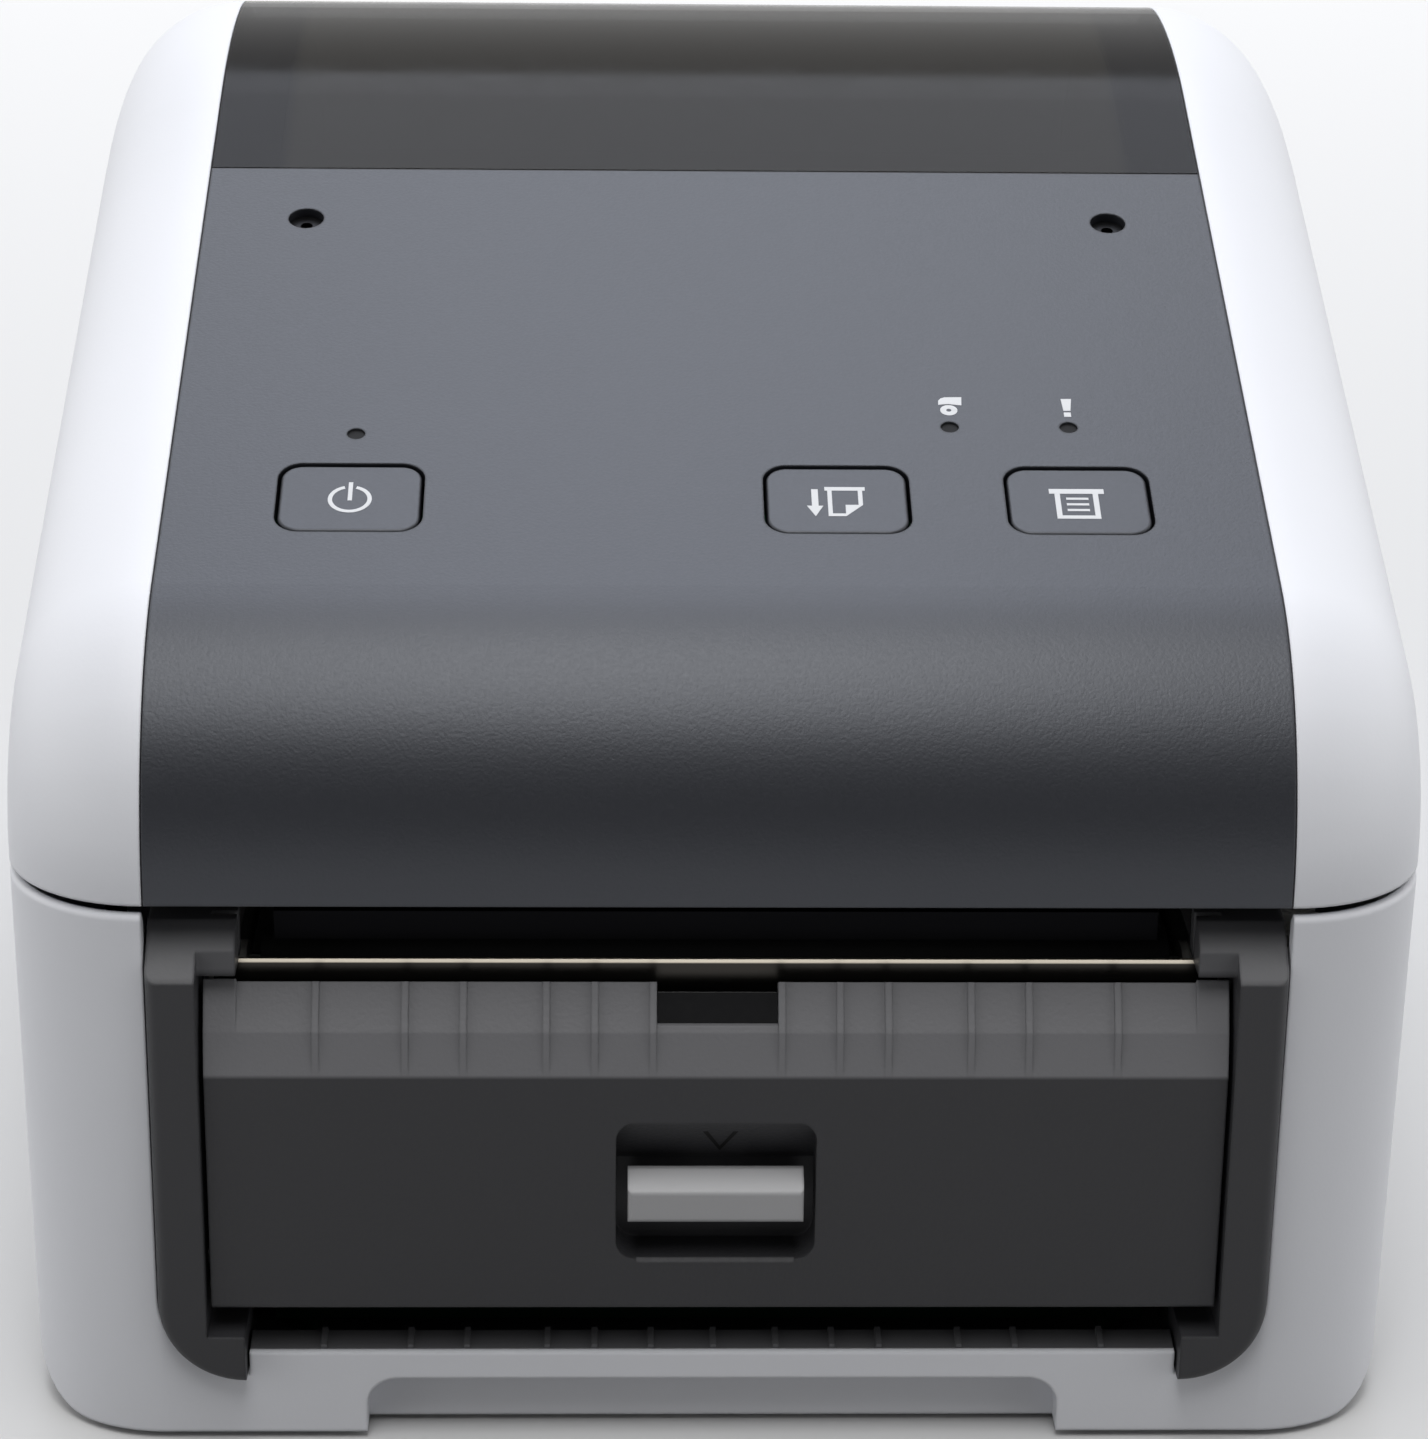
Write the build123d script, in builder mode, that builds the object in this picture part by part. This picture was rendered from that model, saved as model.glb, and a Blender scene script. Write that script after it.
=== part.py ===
"""Desktop label printer with a peel-off unit, built as an assembly of separate pieces.

Millimetres. The origin is at the centre of the footprint, on the surface that the
feet stand on. +X is to the right of someone facing the front, +Y to the back, +Z up.
"""
import os
from math import acos, asin, atan2, cos, degrees, hypot, pi, radians, sin, tan

from build123d import *

os.makedirs("parts", exist_ok=True)

# Overall form
width = 180.0
depth = 224.0
height = 155.0
band_width = 142.4          # dark strip between the two white cheeks
skin = 2.5                  # wall of every outer moulding
seam_gap = 0.2              # between neighbouring mouldings
slip = 0.05                 # radial clearance of a turning or sliding fit
seat = 0.1                  # gap between a piece and what it is fixed to

# Side profile of the two shells
foot_rise = 1.0
parting_gap = 1.2           # dark line between the base and the cover
front_setback = 2.2         # shells lie this far behind the front frame
nose_straight = 1.16        # upright strip of the cover below its bowed front
panel_rise = 26.2           # panel's plane carried forward to the front, over the base's rim
panel_reach = 115.3         # front to the seam between panel and window
crown_radius = 104.0        # top of the window
rear_radius = 54.85         # window down to the rear panel
rear_seam_rise = 21.0       # window to rear panel, over the hinge
base_side_round = 8.0       # lower corners of the base, seen from the front
base_draft = 0.6            # degrees

# Stack of the peel unit, from the chin up to the rim
frame_bottom_z = 9.7
chin_rise = 3.0
door_lift = 7.2             # door's lower edge over the chin
grip_lift = 7.2             # lever pocket over the door's lower edge
grip_tall = 19.3
crease_lift = 6.4           # first fold of the door over the pocket
facet_rise = 5.5            # height of each of the two upper facets
platen_lift = 5.7           # platen's axis over the first fold
rim_lift = 16.1             # base's top edge over the platen's axis

# Peel unit across
arm_wall = 6.2              # frame's arm beside the door
tab_reach = 4.8             # frame's tabs in front of the door's ends
frame_corner = 11.0
door_gap = 0.6              # door to the frame's arms
door_setback = 1.5
door_wall = 3.0
grip_half = 12.7            # recess round the lever
lever_half = 11.2
lever_travel = 4.5

# Paper path
platen_setback = 19.0
platen_radius = 7.0
platen_length = 116.0
shaft_radius = 3.0
paper_gap = 0.3
roll_radius = 63.5          # largest roll
roll_room = 2.5             # between the largest roll and its cradle
tray_half = 62.0            # inner half width of the roll tray
tray_wall = 2.5
rear_room = 3.0             # tray to the rear wall
rack_lift = 0.6             # racks of the roll guides over the bottom plate
rack_wall = 3.6
rack_room = 1.2             # racks to the underside of the tray
lip_wall = 1.5              # rim of the bottom plate inside the base

# Control panel
button_long = 19.1          # openings in the panel
button_short = 14.5
button_corner = 3.2
button_groove = 0.4
button_travel = 0.7
button_x = {"power_button": -47.3, "feed_button": 15.7, "print_button": 47.1}
button_setback = 42.3
light_spots = ((-47.2, 12.9), (31.3, 14.9), (47.1, 14.9))   # across, and behind the buttons
light_radius = 1.15
panel_screw_inset = 14.4    # from the edge of the dark strip
panel_screw_setback = 12.2  # from the seam at the window
panel_screw_radius = 2.5

# Cover hinge
hinge_inset = 6.0           # in from the back
hinge_lift = 16.4           # over the base's rim
hinge_pin_radius = 1.5

# Worked-out values
half = width / 2
front = -depth / 2
back = depth / 2
band_half = band_width / 2
cheek = half - band_half
base_corner = cheek
shell_front = front + front_setback
floor_top = foot_rise + skin
plate_low_z = floor_top + seat + lip_wall

chin_top_z = frame_bottom_z + chin_rise
door_bottom_z = chin_top_z + door_lift
grip_low_z = door_bottom_z + grip_lift
grip_high_z = grip_low_z + grip_tall
door_crease_z = grip_high_z + crease_lift
knee_z = door_crease_z + facet_rise
door_top_z = knee_z + facet_rise
platen_y = front + platen_setback
platen_z = door_crease_z + platen_lift
rim_z = platen_z + rim_lift
cover_z = rim_z + parting_gap
arm_inner = band_half - arm_wall
tab_inner = arm_inner - tab_reach
door_half = arm_inner - door_gap
door_front_y = front + door_setback

cradle = roll_radius + roll_room
cradle_outer = cradle + tray_wall
roll_y = back - skin - rear_room - cradle_outer
roll_z = plate_low_z + rack_lift + rack_wall + rack_room + cradle_outer

hinge_y = back - hinge_inset
hinge_z = rim_z + hinge_lift
rear_seam_z = hinge_z + rear_seam_rise
seam_y = front + panel_reach
button_y = front + button_setback
light_places = [(x, button_y + behind) for x, behind in light_spots]

# The panel's slope is the line from its front height that meets the crown's arc without a kink
panel_front_z = rim_z + panel_rise
crown_y = back - rear_radius
crown_run = crown_y - front
crown_drop = crown_radius - (height - panel_front_z)
slope = asin(crown_radius / hypot(crown_run, crown_drop)) - atan2(crown_drop, crown_run)
nose_room = panel_front_z + front_setback * tan(slope) - cover_z - nose_straight
bow_radius = nose_room / (1 / cos(slope) - tan(slope))
panel_origin = (0, 0, panel_front_z - front * tan(slope))
panel_plane = Plane(origin=panel_origin, x_dir=(1, 0, 0), z_dir=(0, -sin(slope), cos(slope)))
panel_normal = Axis(panel_origin, (0, -sin(slope), cos(slope)))


def block(low, high, mode=Mode.ADD):
    """A box given by two opposite corners."""
    with Locations(tuple((a + b) / 2 for a, b in zip(low, high))):
        Box(*[b - a for a, b in zip(low, high)], mode=mode)


def rod_x(x0, x1, y, z, radius, mode=Mode.ADD):
    """A round bar along X."""
    with Locations(Location(((x0 + x1) / 2, y, z), (0, 90, 0))):
        Cylinder(radius, abs(x1 - x0), mode=mode)


def rod_z(x, y, z0, z1, radius, mode=Mode.ADD):
    """A round bar along Z."""
    with Locations((x, y, (z0 + z1) / 2)):
        Cylinder(radius, abs(z1 - z0), mode=mode)


def side_prism(points, x0, x1, mode=Mode.ADD):
    """A side profile of (y, z) corners drawn out along X."""
    with BuildSketch(Plane.YZ.offset(x0)) as profile:
        with BuildLine():
            Polyline(*points, close=True)
        make_face()
    extrude(profile.sketch, amount=x1 - x0, mode=mode)


def panel_spot(x, y):
    """Panel coordinates of a point given by its place in plan."""
    return (x, y / cos(slope))


def panel_boss(places, radius, top, bottom, mode=Mode.ADD):
    """Round posts square to the panel, between two heights over its surface."""
    with BuildSketch(panel_plane.offset(bottom)) as spots:
        with Locations(*[panel_spot(x, y) for x, y in places]):
            Circle(radius)
    extrude(spots.sketch, amount=top - bottom, mode=mode)


def panel_pads(places, long, short, corner, top, bottom, mode=Mode.ADD):
    """Rounded rectangles square to the panel, between two heights over its surface."""
    with BuildSketch(panel_plane.offset(bottom)) as spots:
        with Locations(*[panel_spot(x, y) for x, y in places]):
            RectangleRounded(long, short, corner)
    extrude(spots.sketch, amount=top - bottom, mode=mode)


def save(builder, name):
    """Label a finished piece and write it."""
    builder.part.label = name
    export_step(builder.part, f"parts/{name}.step")


def cover_form(inset, bottom_z):
    """The closed form of the cover, drawn in by the inset on every side."""
    bow = bow_radius - inset
    crown = crown_radius - inset
    bow_y = shell_front + bow_radius
    bow_z = panel_front_z + (bow_y - front) * tan(slope) - bow_radius / cos(slope)
    with BuildPart() as form:
        with BuildSketch(Plane.YZ.offset(inset - half)):
            with BuildLine():
                nose = CenterArc((bow_y, bow_z), bow, 180, degrees(slope) - 90)
                top = CenterArc((crown_y, height - crown_radius), crown, 90 + degrees(slope), -degrees(slope))
                tail = CenterArc((crown_y, height - rear_radius), rear_radius - inset, 90, -90)
                Line(nose @ 1, top @ 0)
                Polyline(tail @ 1, (back - inset, bottom_z), (shell_front + inset, bottom_z), nose @ 0)
            make_face()
        extrude(amount=width - 2 * inset)
        ends = form.faces().sort_by(Axis.X)
        rims = ends[0].edges() + ends[-1].edges()
        fillet(rims.filter_by(lambda edge: edge.center().Z > bottom_z + slip), radius=cheek - inset)
    return form.part


# Cover: one thin shell, parted into cheeks, panel, window and rear panel
with BuildPart() as cover_shell:
    add(cover_form(0, cover_z))
    add(cover_form(skin, cover_z - skin), mode=Mode.SUBTRACT)

cheek_inner = band_half + seam_gap / 2
for side, name in ((-1, "cover_side_left"), (1, "cover_side_right")):
    with BuildPart() as cover_side:
        add(cover_shell.part)
        with Locations((side * (cheek_inner + half) / 2, 0, height / 2)):
            Box(half - cheek_inner, 2 * depth, 2 * height, mode=Mode.INTERSECT)
    save(cover_side, name)

band_edge = band_half - seam_gap / 2
button_places = [(x, button_y) for x in button_x.values()]
screw_x = band_half - panel_screw_inset
screw_places = [(side * screw_x, seam_y - panel_screw_setback) for side in (-1, 1)]
with BuildPart() as cover_panel:
    add(cover_shell.part)
    block((-band_edge, front, 0), (band_edge, seam_y - seam_gap / 2, height), mode=Mode.INTERSECT)
    panel_pads(button_places, button_long, button_short, button_corner, skin, -2 * skin, mode=Mode.SUBTRACT)
    panel_boss(light_places, light_radius + slip, skin, -2 * skin, mode=Mode.SUBTRACT)
    panel_boss(screw_places, panel_screw_radius, skin, -2 * skin, mode=Mode.SUBTRACT)
save(cover_panel, "cover_panel")

with BuildPart() as roll_window:
    add(cover_shell.part)
    block((-band_edge, seam_y + seam_gap / 2, rear_seam_z + seam_gap / 2), (band_edge, back, height),
          mode=Mode.INTERSECT)
save(roll_window, "roll_window")

# Rear panel with the notches that let the hinge brackets reach in under the cover
notch_gap = 0.8
bracket_boss = 4.0
bracket_outer = band_half - notch_gap
bracket_wall = 5.2
bracket_inner = bracket_outer - bracket_wall
lug_wall = 4.0
lug_gap = 1.2
lug_inner = bracket_inner - lug_gap - lug_wall
with BuildPart() as cover_rear_panel:
    add(cover_shell.part)
    block((-band_edge, crown_y, 0), (band_edge, back, rear_seam_z - seam_gap / 2), mode=Mode.INTERSECT)
    for side in (-1, 1):
        x0, x1 = sorted((side * (bracket_inner - notch_gap), side * (bracket_outer + notch_gap)))
        block((x0, hinge_y - bracket_boss, 0),
              (x1, back, hinge_z + bracket_boss + notch_gap), mode=Mode.SUBTRACT)
        x0, x1 = sorted((side * lug_inner, side * (lug_inner + lug_wall)))
        block((x0, hinge_y - bracket_boss, hinge_z - bracket_boss),
              (x1, back - skin, hinge_z + bracket_boss))
        rod_x(x0, x1, hinge_y, hinge_z, hinge_pin_radius, mode=Mode.SUBTRACT)
save(cover_rear_panel, "cover_rear_panel")

with BuildPart() as hinge_pins:
    for side in (-1, 1):
        rod_x(side * lug_inner, side * bracket_outer, hinge_y, hinge_z, hinge_pin_radius)
save(hinge_pins, "hinge_pins")

# Inner frame of the cover: a rim under the shell that carries the cheeks, panel and window
liner_wall = 2.0
liner_half = band_half + cheek / 2
window_rim = 9.2            # rim of the inner frame beside the window
board_rim = 7.2             # and beside the circuit board
window_half = band_half - window_rim
board_long = 2 * (band_half - board_rim)
board_short = 42.0
liner_setback = 14.0
frame_front_y = front + liner_setback
liner_back_y = hinge_y - bracket_boss - seat
with BuildPart() as cover_frame:
    add(cover_form(skin + seat, cover_z))
    add(cover_form(skin + seat + liner_wall, cover_z - skin), mode=Mode.SUBTRACT)
    block((-liner_half, frame_front_y, cover_z), (liner_half, liner_back_y, height), mode=Mode.INTERSECT)
    block((-window_half, seam_y + cheek / 2, 0), (window_half, back, height), mode=Mode.SUBTRACT)
    panel_pads([(0, button_y + button_short / 2)], board_long, board_short, button_corner, 0, -cheek,
               mode=Mode.SUBTRACT)
    panel_boss(screw_places, panel_screw_radius / 2, skin, -2 * cheek, mode=Mode.SUBTRACT)
save(cover_frame, "cover_frame")

# Screws in the two round holes of the panel, sunk below its surface
screw_sink = 1.3            # head's top below the panel
with BuildPart() as panel_screws:
    panel_boss(screw_places, panel_screw_radius - slip, -screw_sink, -skin - seat)
    panel_boss(screw_places, panel_screw_radius / 2 - slip, -skin - seat, -4 * skin)
    panel_boss(screw_places, panel_screw_radius / 3, skin, -skin + seat, mode=Mode.SUBTRACT)
save(panel_screws, "panel_screws")

# Buttons: a cap in the panel's opening and a stem that presses a switch on the board
cap_sink = 0.15             # cap's top below the panel
cap_top = -cap_sink
cap_depth = 3.0
cap_edge = 0.4
stem_radius = 2.0
switch_side = 6.0
switch_height = 3.4
stem_length = 0.5
board_top = cap_top - cap_depth - button_travel - switch_height - stem_length
board_wall = 1.6
for name, x in button_x.items():
    with BuildPart() as button:
        panel_pads([(x, button_y)], button_long - 2 * button_groove, button_short - 2 * button_groove,
                   button_corner - button_groove, cap_top, cap_top - cap_depth)
        fillet(button.faces().sort_by(panel_normal)[-1].edges(), cap_edge)
        panel_boss([(x, button_y)], stem_radius, cap_top - cap_depth,
                   board_top + switch_height + button_travel + seat)
    save(button, name)

# Circuit board under the panel, with its three switches and light pipes
with BuildPart() as panel_board:
    panel_pads([(0, button_y + button_short / 2)], board_long - 2 * seat, board_short - 2 * seat,
               button_corner - seat, board_top, board_top - board_wall)
save(panel_board, "panel_board")

with BuildPart() as tact_switches:
    panel_pads(button_places, switch_side, switch_side, switch_side / 8, board_top + switch_height, board_top)
save(tact_switches, "tact_switches")

light_sink = 0.3
with BuildPart() as light_pipes:
    panel_boss(light_places, light_radius, -light_sink, board_top)
save(light_pipes, "light_pipes")

# Base: a white tub with a U-shaped opening at the front and a loose bottom plate
rim_round = 0.9
rim_lip = 1.0               # flat of the rim, before its inner bevel
rim_bevel = 45.0            # degrees
chin_lip = 1.7              # chin's upper edge, in front of the paper guide
opening_gap = 0.3
plate_inset = 16.0          # bottom plate in from the sides and the back
plate_setback = 20.0
plate_half_x = half - plate_inset
plate_low_y = front + plate_setback
plate_high_y = back - plate_inset
plate_lip = 4.0
grip_reach = 44.9           # half width of the finger recess under the chin
grip_top_z = 8.9
grip_depth = 5.0
grip_corner = 4.0
shell_middle = (shell_front + back) / 2
shell_length = back - shell_front
port_z = 9.6                # top of the rear circuit board
port_gap = 0.3
ports = {
    "dc_jack": (-52.0, 9.0, 11.0, 14.0),
    "serial_port": (-18.0, 31.0, 12.5, 12.0),
    "usb_port": (20.0, 12.0, 11.0, 16.0),
    "network_port": (46.0, 16.0, 13.5, 21.0),
}


def tub_outline(inset):
    """The base's outline at its rim, drawn in by the inset."""
    with BuildSketch(Plane.XY.offset(rim_z)) as outline:
        with Locations((0, shell_middle)):
            RectangleRounded(width - 2 * inset, shell_length - 2 * inset, base_corner - inset)
    return outline.sketch


def tub_form(inset, bottom_z):
    """The drafted form of the base, drawn in by the inset, with its lower sides rounded."""
    high = half - inset
    low = high - (rim_z - bottom_z) * tan(radians(base_draft))
    with BuildPart() as form:
        extrude(tub_outline(inset), amount=rim_z - bottom_z, dir=(0, 0, -1), taper=base_draft)
        with BuildSketch(Plane.XZ):
            with BuildLine():
                FilletPolyline((-high, rim_z), (-low, bottom_z), (low, bottom_z), (high, rim_z),
                               radius=base_side_round - inset)
                Line((high, rim_z), (-high, rim_z))
            make_face()
        extrude(amount=depth, both=True, mode=Mode.INTERSECT)
    return form.part


def front_opening(gap):
    """Outline of the peel unit's frame, seen from the front."""
    with BuildSketch(Plane.XZ.offset(-front)) as outline:
        with BuildLine():
            side = band_half + gap
            low = frame_bottom_z - gap
            FilletPolyline((-side, height), (-side, low), (side, low), (side, height),
                           radius=frame_corner + gap)
            Line((side, height), (-side, height))
        make_face()
    return outline.sketch


with BuildPart() as chin:
    add(tub_form(0, foot_rise))
    block((-tab_inner + opening_gap, shell_front, frame_bottom_z - skin),
          (tab_inner - opening_gap, shell_front + skin, chin_top_z), mode=Mode.INTERSECT)
    block((-half, shell_front + chin_lip, chin_top_z - skin / 2), (half, back, height), mode=Mode.SUBTRACT)

with BuildPart() as grip_wall:
    add(tub_form(0, foot_rise))
    block((-grip_reach - skin, shell_front, 0),
          (grip_reach + skin, shell_front + grip_depth + skin, grip_top_z + skin), mode=Mode.INTERSECT)

with BuildPart() as base_shell:
    add(tub_form(0, foot_rise))
    fillet(base_shell.faces().sort_by(Axis.Z)[-1].edges(), rim_round)
    add(tub_form(skin, floor_top), mode=Mode.SUBTRACT)
    extrude(tub_outline(rim_lip), amount=skin, dir=(0, 0, -1), taper=rim_bevel, mode=Mode.SUBTRACT)
    add(grip_wall.part)
    extrude(front_opening(opening_gap), amount=-skin - base_corner, mode=Mode.SUBTRACT)
    add(chin.part)
    with BuildSketch(Plane.XZ.offset(-front)):
        with BuildLine():
            FilletPolyline((-grip_reach, -skin), (-grip_reach, grip_top_z), (grip_reach, grip_top_z),
                           (grip_reach, -skin), radius=grip_corner)
            Line((grip_reach, -skin), (-grip_reach, -skin))
        make_face()
    extrude(amount=-front_setback - grip_depth, mode=Mode.SUBTRACT)
    block((-plate_half_x, plate_low_y, 0),
          (plate_half_x, plate_high_y, floor_top + skin), mode=Mode.SUBTRACT)
    for x, wide, tall, reach in ports.values():
        block((x - wide / 2 - port_gap, back - 2 * skin, port_z - port_gap),
              (x + wide / 2 + port_gap, back + skin, port_z + tall + port_gap), mode=Mode.SUBTRACT)
save(base_shell, "base_shell")

# Front frame: dark arms on each side of the peel door, joined by a bar behind the chin
frame_depth = 12.0
frame_back = front + frame_depth
frame_sink = 2.6            # frame's top below the base's rim
frame_edge = 1.5            # rounding of its outer front edge
frame_slope_rise = 5.8
frame_slope_long = 7.0
frame_top_z = rim_z - frame_sink
frame_slope_z = frame_top_z - frame_slope_rise
frame_slope_y = front + frame_slope_long
tab_setback = 3.5
tab_front_y = front + tab_setback
tab_lift = 2.0              # tabs over the door's upper edge
tab_low_z = door_top_z + tab_lift
low_tab_rise = 3.8
low_tab_z = chin_top_z + low_tab_rise
door_pivot_setback = 6.5
door_pivot_lift = 5.1
door_pivot_y = front + door_pivot_setback
door_pivot_z = door_bottom_z + door_pivot_lift
door_pin_radius = 1.5
bar_setback = 8.6
bar_lift = 0.3              # bar's lower edge over the platen's axis
bar_tall = 7.1
bar_wall = 1.0
bar_inset = 1.6             # bar's ends inside the frame's arms
bar_low_z = platen_z + bar_lift
bar_top_z = bar_low_z + bar_tall
bar_front_y = front + bar_setback
bar_half = arm_inner - bar_inset
guide_front_y = shell_front + chin_lip + seat
guide_long = 3.6            # ledge that leads the backing out
guide_shade = 2.5           # frame's lower bar behind that ledge
guide_back_y = guide_front_y + guide_long
with BuildPart() as front_frame:
    extrude(front_opening(0), amount=-frame_depth)
    fillet(front_frame.faces().sort_by(Axis.Y)[0].edges(), frame_edge)
    block((-arm_inner, front, low_tab_z), (arm_inner, back, height), mode=Mode.SUBTRACT)
    block((-tab_inner, front, 0), (tab_inner, back, height), mode=Mode.SUBTRACT)
    block((-tab_inner, shell_front + skin + seat, frame_bottom_z),
          (tab_inner, guide_back_y + guide_shade, chin_top_z - skin / 2))
    for side in (-1, 1):
        x0, x1 = sorted((side * tab_inner, side * arm_inner))
        block((x0, tab_front_y, tab_low_z), (x1, frame_back, height))
        x0, x1 = sorted((side * (arm_inner - seat), side * band_half))
        rod_x(x0, x1, door_pivot_y, door_pivot_z, door_pin_radius + slip, mode=Mode.SUBTRACT)
    side_prism(((front - skin, frame_slope_z), (front, frame_slope_z), (frame_slope_y, frame_top_z),
                (back, frame_top_z), (back, 2 * height), (front - skin, 2 * height)), -half, half,
               mode=Mode.SUBTRACT)
    block((-bar_half - slip, bar_front_y - slip, bar_low_z),
          (bar_half + slip, bar_front_y + bar_wall + slip, height), mode=Mode.SUBTRACT)
save(front_frame, "front_frame")

# Tear and peel bar: a steel strip dropped into slots in the tabs
with BuildPart() as tear_bar:
    block((-bar_half, bar_front_y, bar_low_z), (bar_half, bar_front_y + bar_wall, bar_top_z))
    chamfer(tear_bar.edges().filter_by(Axis.X).group_by(Axis.Z)[-1].sort_by(Axis.Y)[-1], bar_wall / 2)
save(tear_bar, "tear_bar")

# Ribbed guide that leads the spent backing paper out over the chin
rib_places = (8.1, 15.4, 21.5, 31.9, 39.2, 50.4)   # on each side, for the guide and the door
guide_rib_wall = 0.8
guide_rise = 0.5
guide_lift = 0.7
guide_back_z = chin_top_z + guide_lift
with BuildPart() as liner_guide:
    guide_low = chin_top_z - skin / 2 + seat
    side_prism(((guide_front_y, guide_low), (guide_back_y, guide_low), (guide_back_y, guide_back_z),
                (guide_front_y, chin_top_z)), -tab_inner + opening_gap, tab_inner - opening_gap)
    for x in (0, *rib_places, *[-place for place in rib_places]):
        side_prism(((guide_front_y, chin_top_z), (guide_back_y, guide_back_z),
                    (guide_back_y, guide_back_z + guide_rise), (guide_front_y, chin_top_z + guide_rise)),
                   x - guide_rib_wall / 2, x + guide_rib_wall / 2)
save(liner_guide, "liner_guide")

# Peel door: a folded front with ribbed upper facets, side walls, and a pocket for the lever
knee_lean = 1.4             # first facet leans back by this
lip_lean = 3.4              # and the second by this
lip_wall_y = 1.4
lip_wall_z = 1.1
knee_wall = 1.0
knee_y = door_front_y + knee_lean
lip_y = knee_y + lip_lean
lip_back_y = lip_y + lip_wall_y
lip_back_z = door_top_z - lip_wall_z
door_back_y = door_front_y + door_wall
door_bottom_round = 0.6
door_cheek = 3.0
cheek_lift = 1.0
cheek_reach = 10.0
cheek_tall = 10.0
cheek_drop = 0.9            # cheek's top below the second fold
cheek_back_y = door_front_y + cheek_reach
cheek_top_z = knee_z - cheek_drop
cheek_low_z = cheek_top_z - cheek_tall
ear_inner = tab_inner + seat
ear_rise = 0.7
rib_wall = 0.9
rib_rise = 0.5
sensor_half = 7.6
sensor_lift = 0.8
sensor_low_z = knee_z + sensor_lift
pocket_depth = 6.3
pocket_floor_y = door_front_y + pocket_depth
pocket_wall = 1.8
pocket_corner = 2.5
pocket_slant = 7.8
pocket_lip = 0.5            # bevel along the pocket's lower edge
pocket_step_z = grip_high_z - pocket_slant
lever_lift = 5.5            # lever at rest over the pocket's lower edge
lever_low_z = grip_low_z + lever_lift
stem_half = 4.0
stem_lift = 1.4
stem_tall = 2.4
stem_root = 1.0
stem_low_z = lever_low_z + stem_lift
stem_high_z = stem_low_z + stem_tall
roller_setback = 9.6        # in front of the platen's axis
roller_drop = 5.3
roller_y = platen_y - roller_setback
roller_z = platen_z - roller_drop
roller_radius = 3.5
roller_pin = 1.25
roller_inset = 7.4          # roller's ends inside the door's ends
roller_half = door_half - roller_inset

with BuildPart() as pocket_form:
    with BuildSketch(Plane.XZ.offset(-front)):
        with Locations((0, (grip_low_z + grip_high_z) / 2)):
            RectangleRounded(2 * grip_half, grip_high_z - grip_low_z, pocket_corner)
    extrude(amount=front - pocket_floor_y)
    side_prism(((front, grip_high_z), (door_front_y, grip_high_z), (pocket_floor_y, pocket_step_z),
                (pocket_floor_y, grip_low_z), (front, grip_low_z)), -half, half, mode=Mode.INTERSECT)
    side_prism(((front, grip_low_z - pocket_lip), (door_front_y, grip_low_z - pocket_lip),
                (door_front_y + pocket_lip, grip_low_z), (front, grip_low_z)),
               pocket_corner - grip_half, grip_half - pocket_corner)

with BuildPart() as peel_door:
    side_prism(((door_front_y, door_bottom_z), (door_front_y, door_crease_z), (knee_y, knee_z),
                (lip_y, door_top_z), (lip_back_y, lip_back_z),
                (door_back_y + knee_wall, knee_z - knee_wall),
                (door_back_y, door_crease_z), (door_back_y, door_bottom_z)), -door_half, door_half)
    fillet(peel_door.edges().filter_by(Axis.X).group_by(Axis.Z)[0].sort_by(Axis.Y)[0], door_bottom_round)
    for side in (-1, 1):
        x0, x1 = sorted((side * (door_half - door_cheek), side * door_half))
        cheek_bottom_z = door_bottom_z + cheek_lift
        side_prism(((door_back_y, cheek_bottom_z), (door_back_y, cheek_top_z), (cheek_back_y, cheek_top_z),
                    (cheek_back_y, cheek_low_z), (door_pivot_y + door_cheek, door_pivot_z + door_cheek),
                    (door_pivot_y + door_cheek, cheek_bottom_z)), x0, x1)
        rod_x(x0, x1, roller_y, roller_z, roller_pin + slip, mode=Mode.SUBTRACT)
        rod_x(x0, x1, door_pivot_y, door_pivot_z, door_pin_radius, mode=Mode.SUBTRACT)
        x0, x1 = sorted((side * ear_inner, side * door_half))
        side_prism(((knee_y, knee_z), (lip_y - ear_rise, door_top_z + ear_rise),
                    (lip_y, door_top_z)), x0, x1)
        for place in rib_places:
            x = side * place
            side_prism(((door_front_y, door_crease_z), (knee_y - rib_rise, knee_z + rib_rise / 2),
                        (lip_y - rib_rise, door_top_z + rib_rise / 2), (lip_y, door_top_z),
                        (knee_y, knee_z)),
                       x - rib_wall / 2, x + rib_wall / 2)
    block((-grip_half - pocket_wall, door_back_y, grip_low_z - pocket_wall),
          (grip_half + pocket_wall, pocket_floor_y + pocket_wall, grip_high_z + pocket_wall))
    add(pocket_form.part, mode=Mode.SUBTRACT)
    block((-stem_half - seat, pocket_floor_y - stem_root, stem_low_z - lever_travel - seat),
          (stem_half + seat, pocket_floor_y + 2 * pocket_wall, stem_high_z + seat), mode=Mode.SUBTRACT)
    block((-sensor_half, front, sensor_low_z), (sensor_half, bar_front_y, height), mode=Mode.SUBTRACT)
save(peel_door, "peel_door")

# Small pieces carried by the door
sensor_setback = 1.2
sensor_reach = 2.0
with BuildPart() as label_sensor:
    side_prism(((knee_y + sensor_setback, sensor_low_z),
                (lip_y - sensor_setback / 4, door_top_z - sensor_setback),
                (lip_back_y, lip_back_z - sensor_setback), (door_back_y + sensor_reach, sensor_low_z)),
               -sensor_half + slip, sensor_half - slip)
save(label_sensor, "label_sensor")

pin_end_gap = 1.0
with BuildPart() as door_pins:
    for side in (-1, 1):
        rod_x(side * (door_half - door_cheek), side * (band_half - pin_end_gap), door_pivot_y, door_pivot_z,
              door_pin_radius)
save(door_pins, "door_pins")

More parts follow.
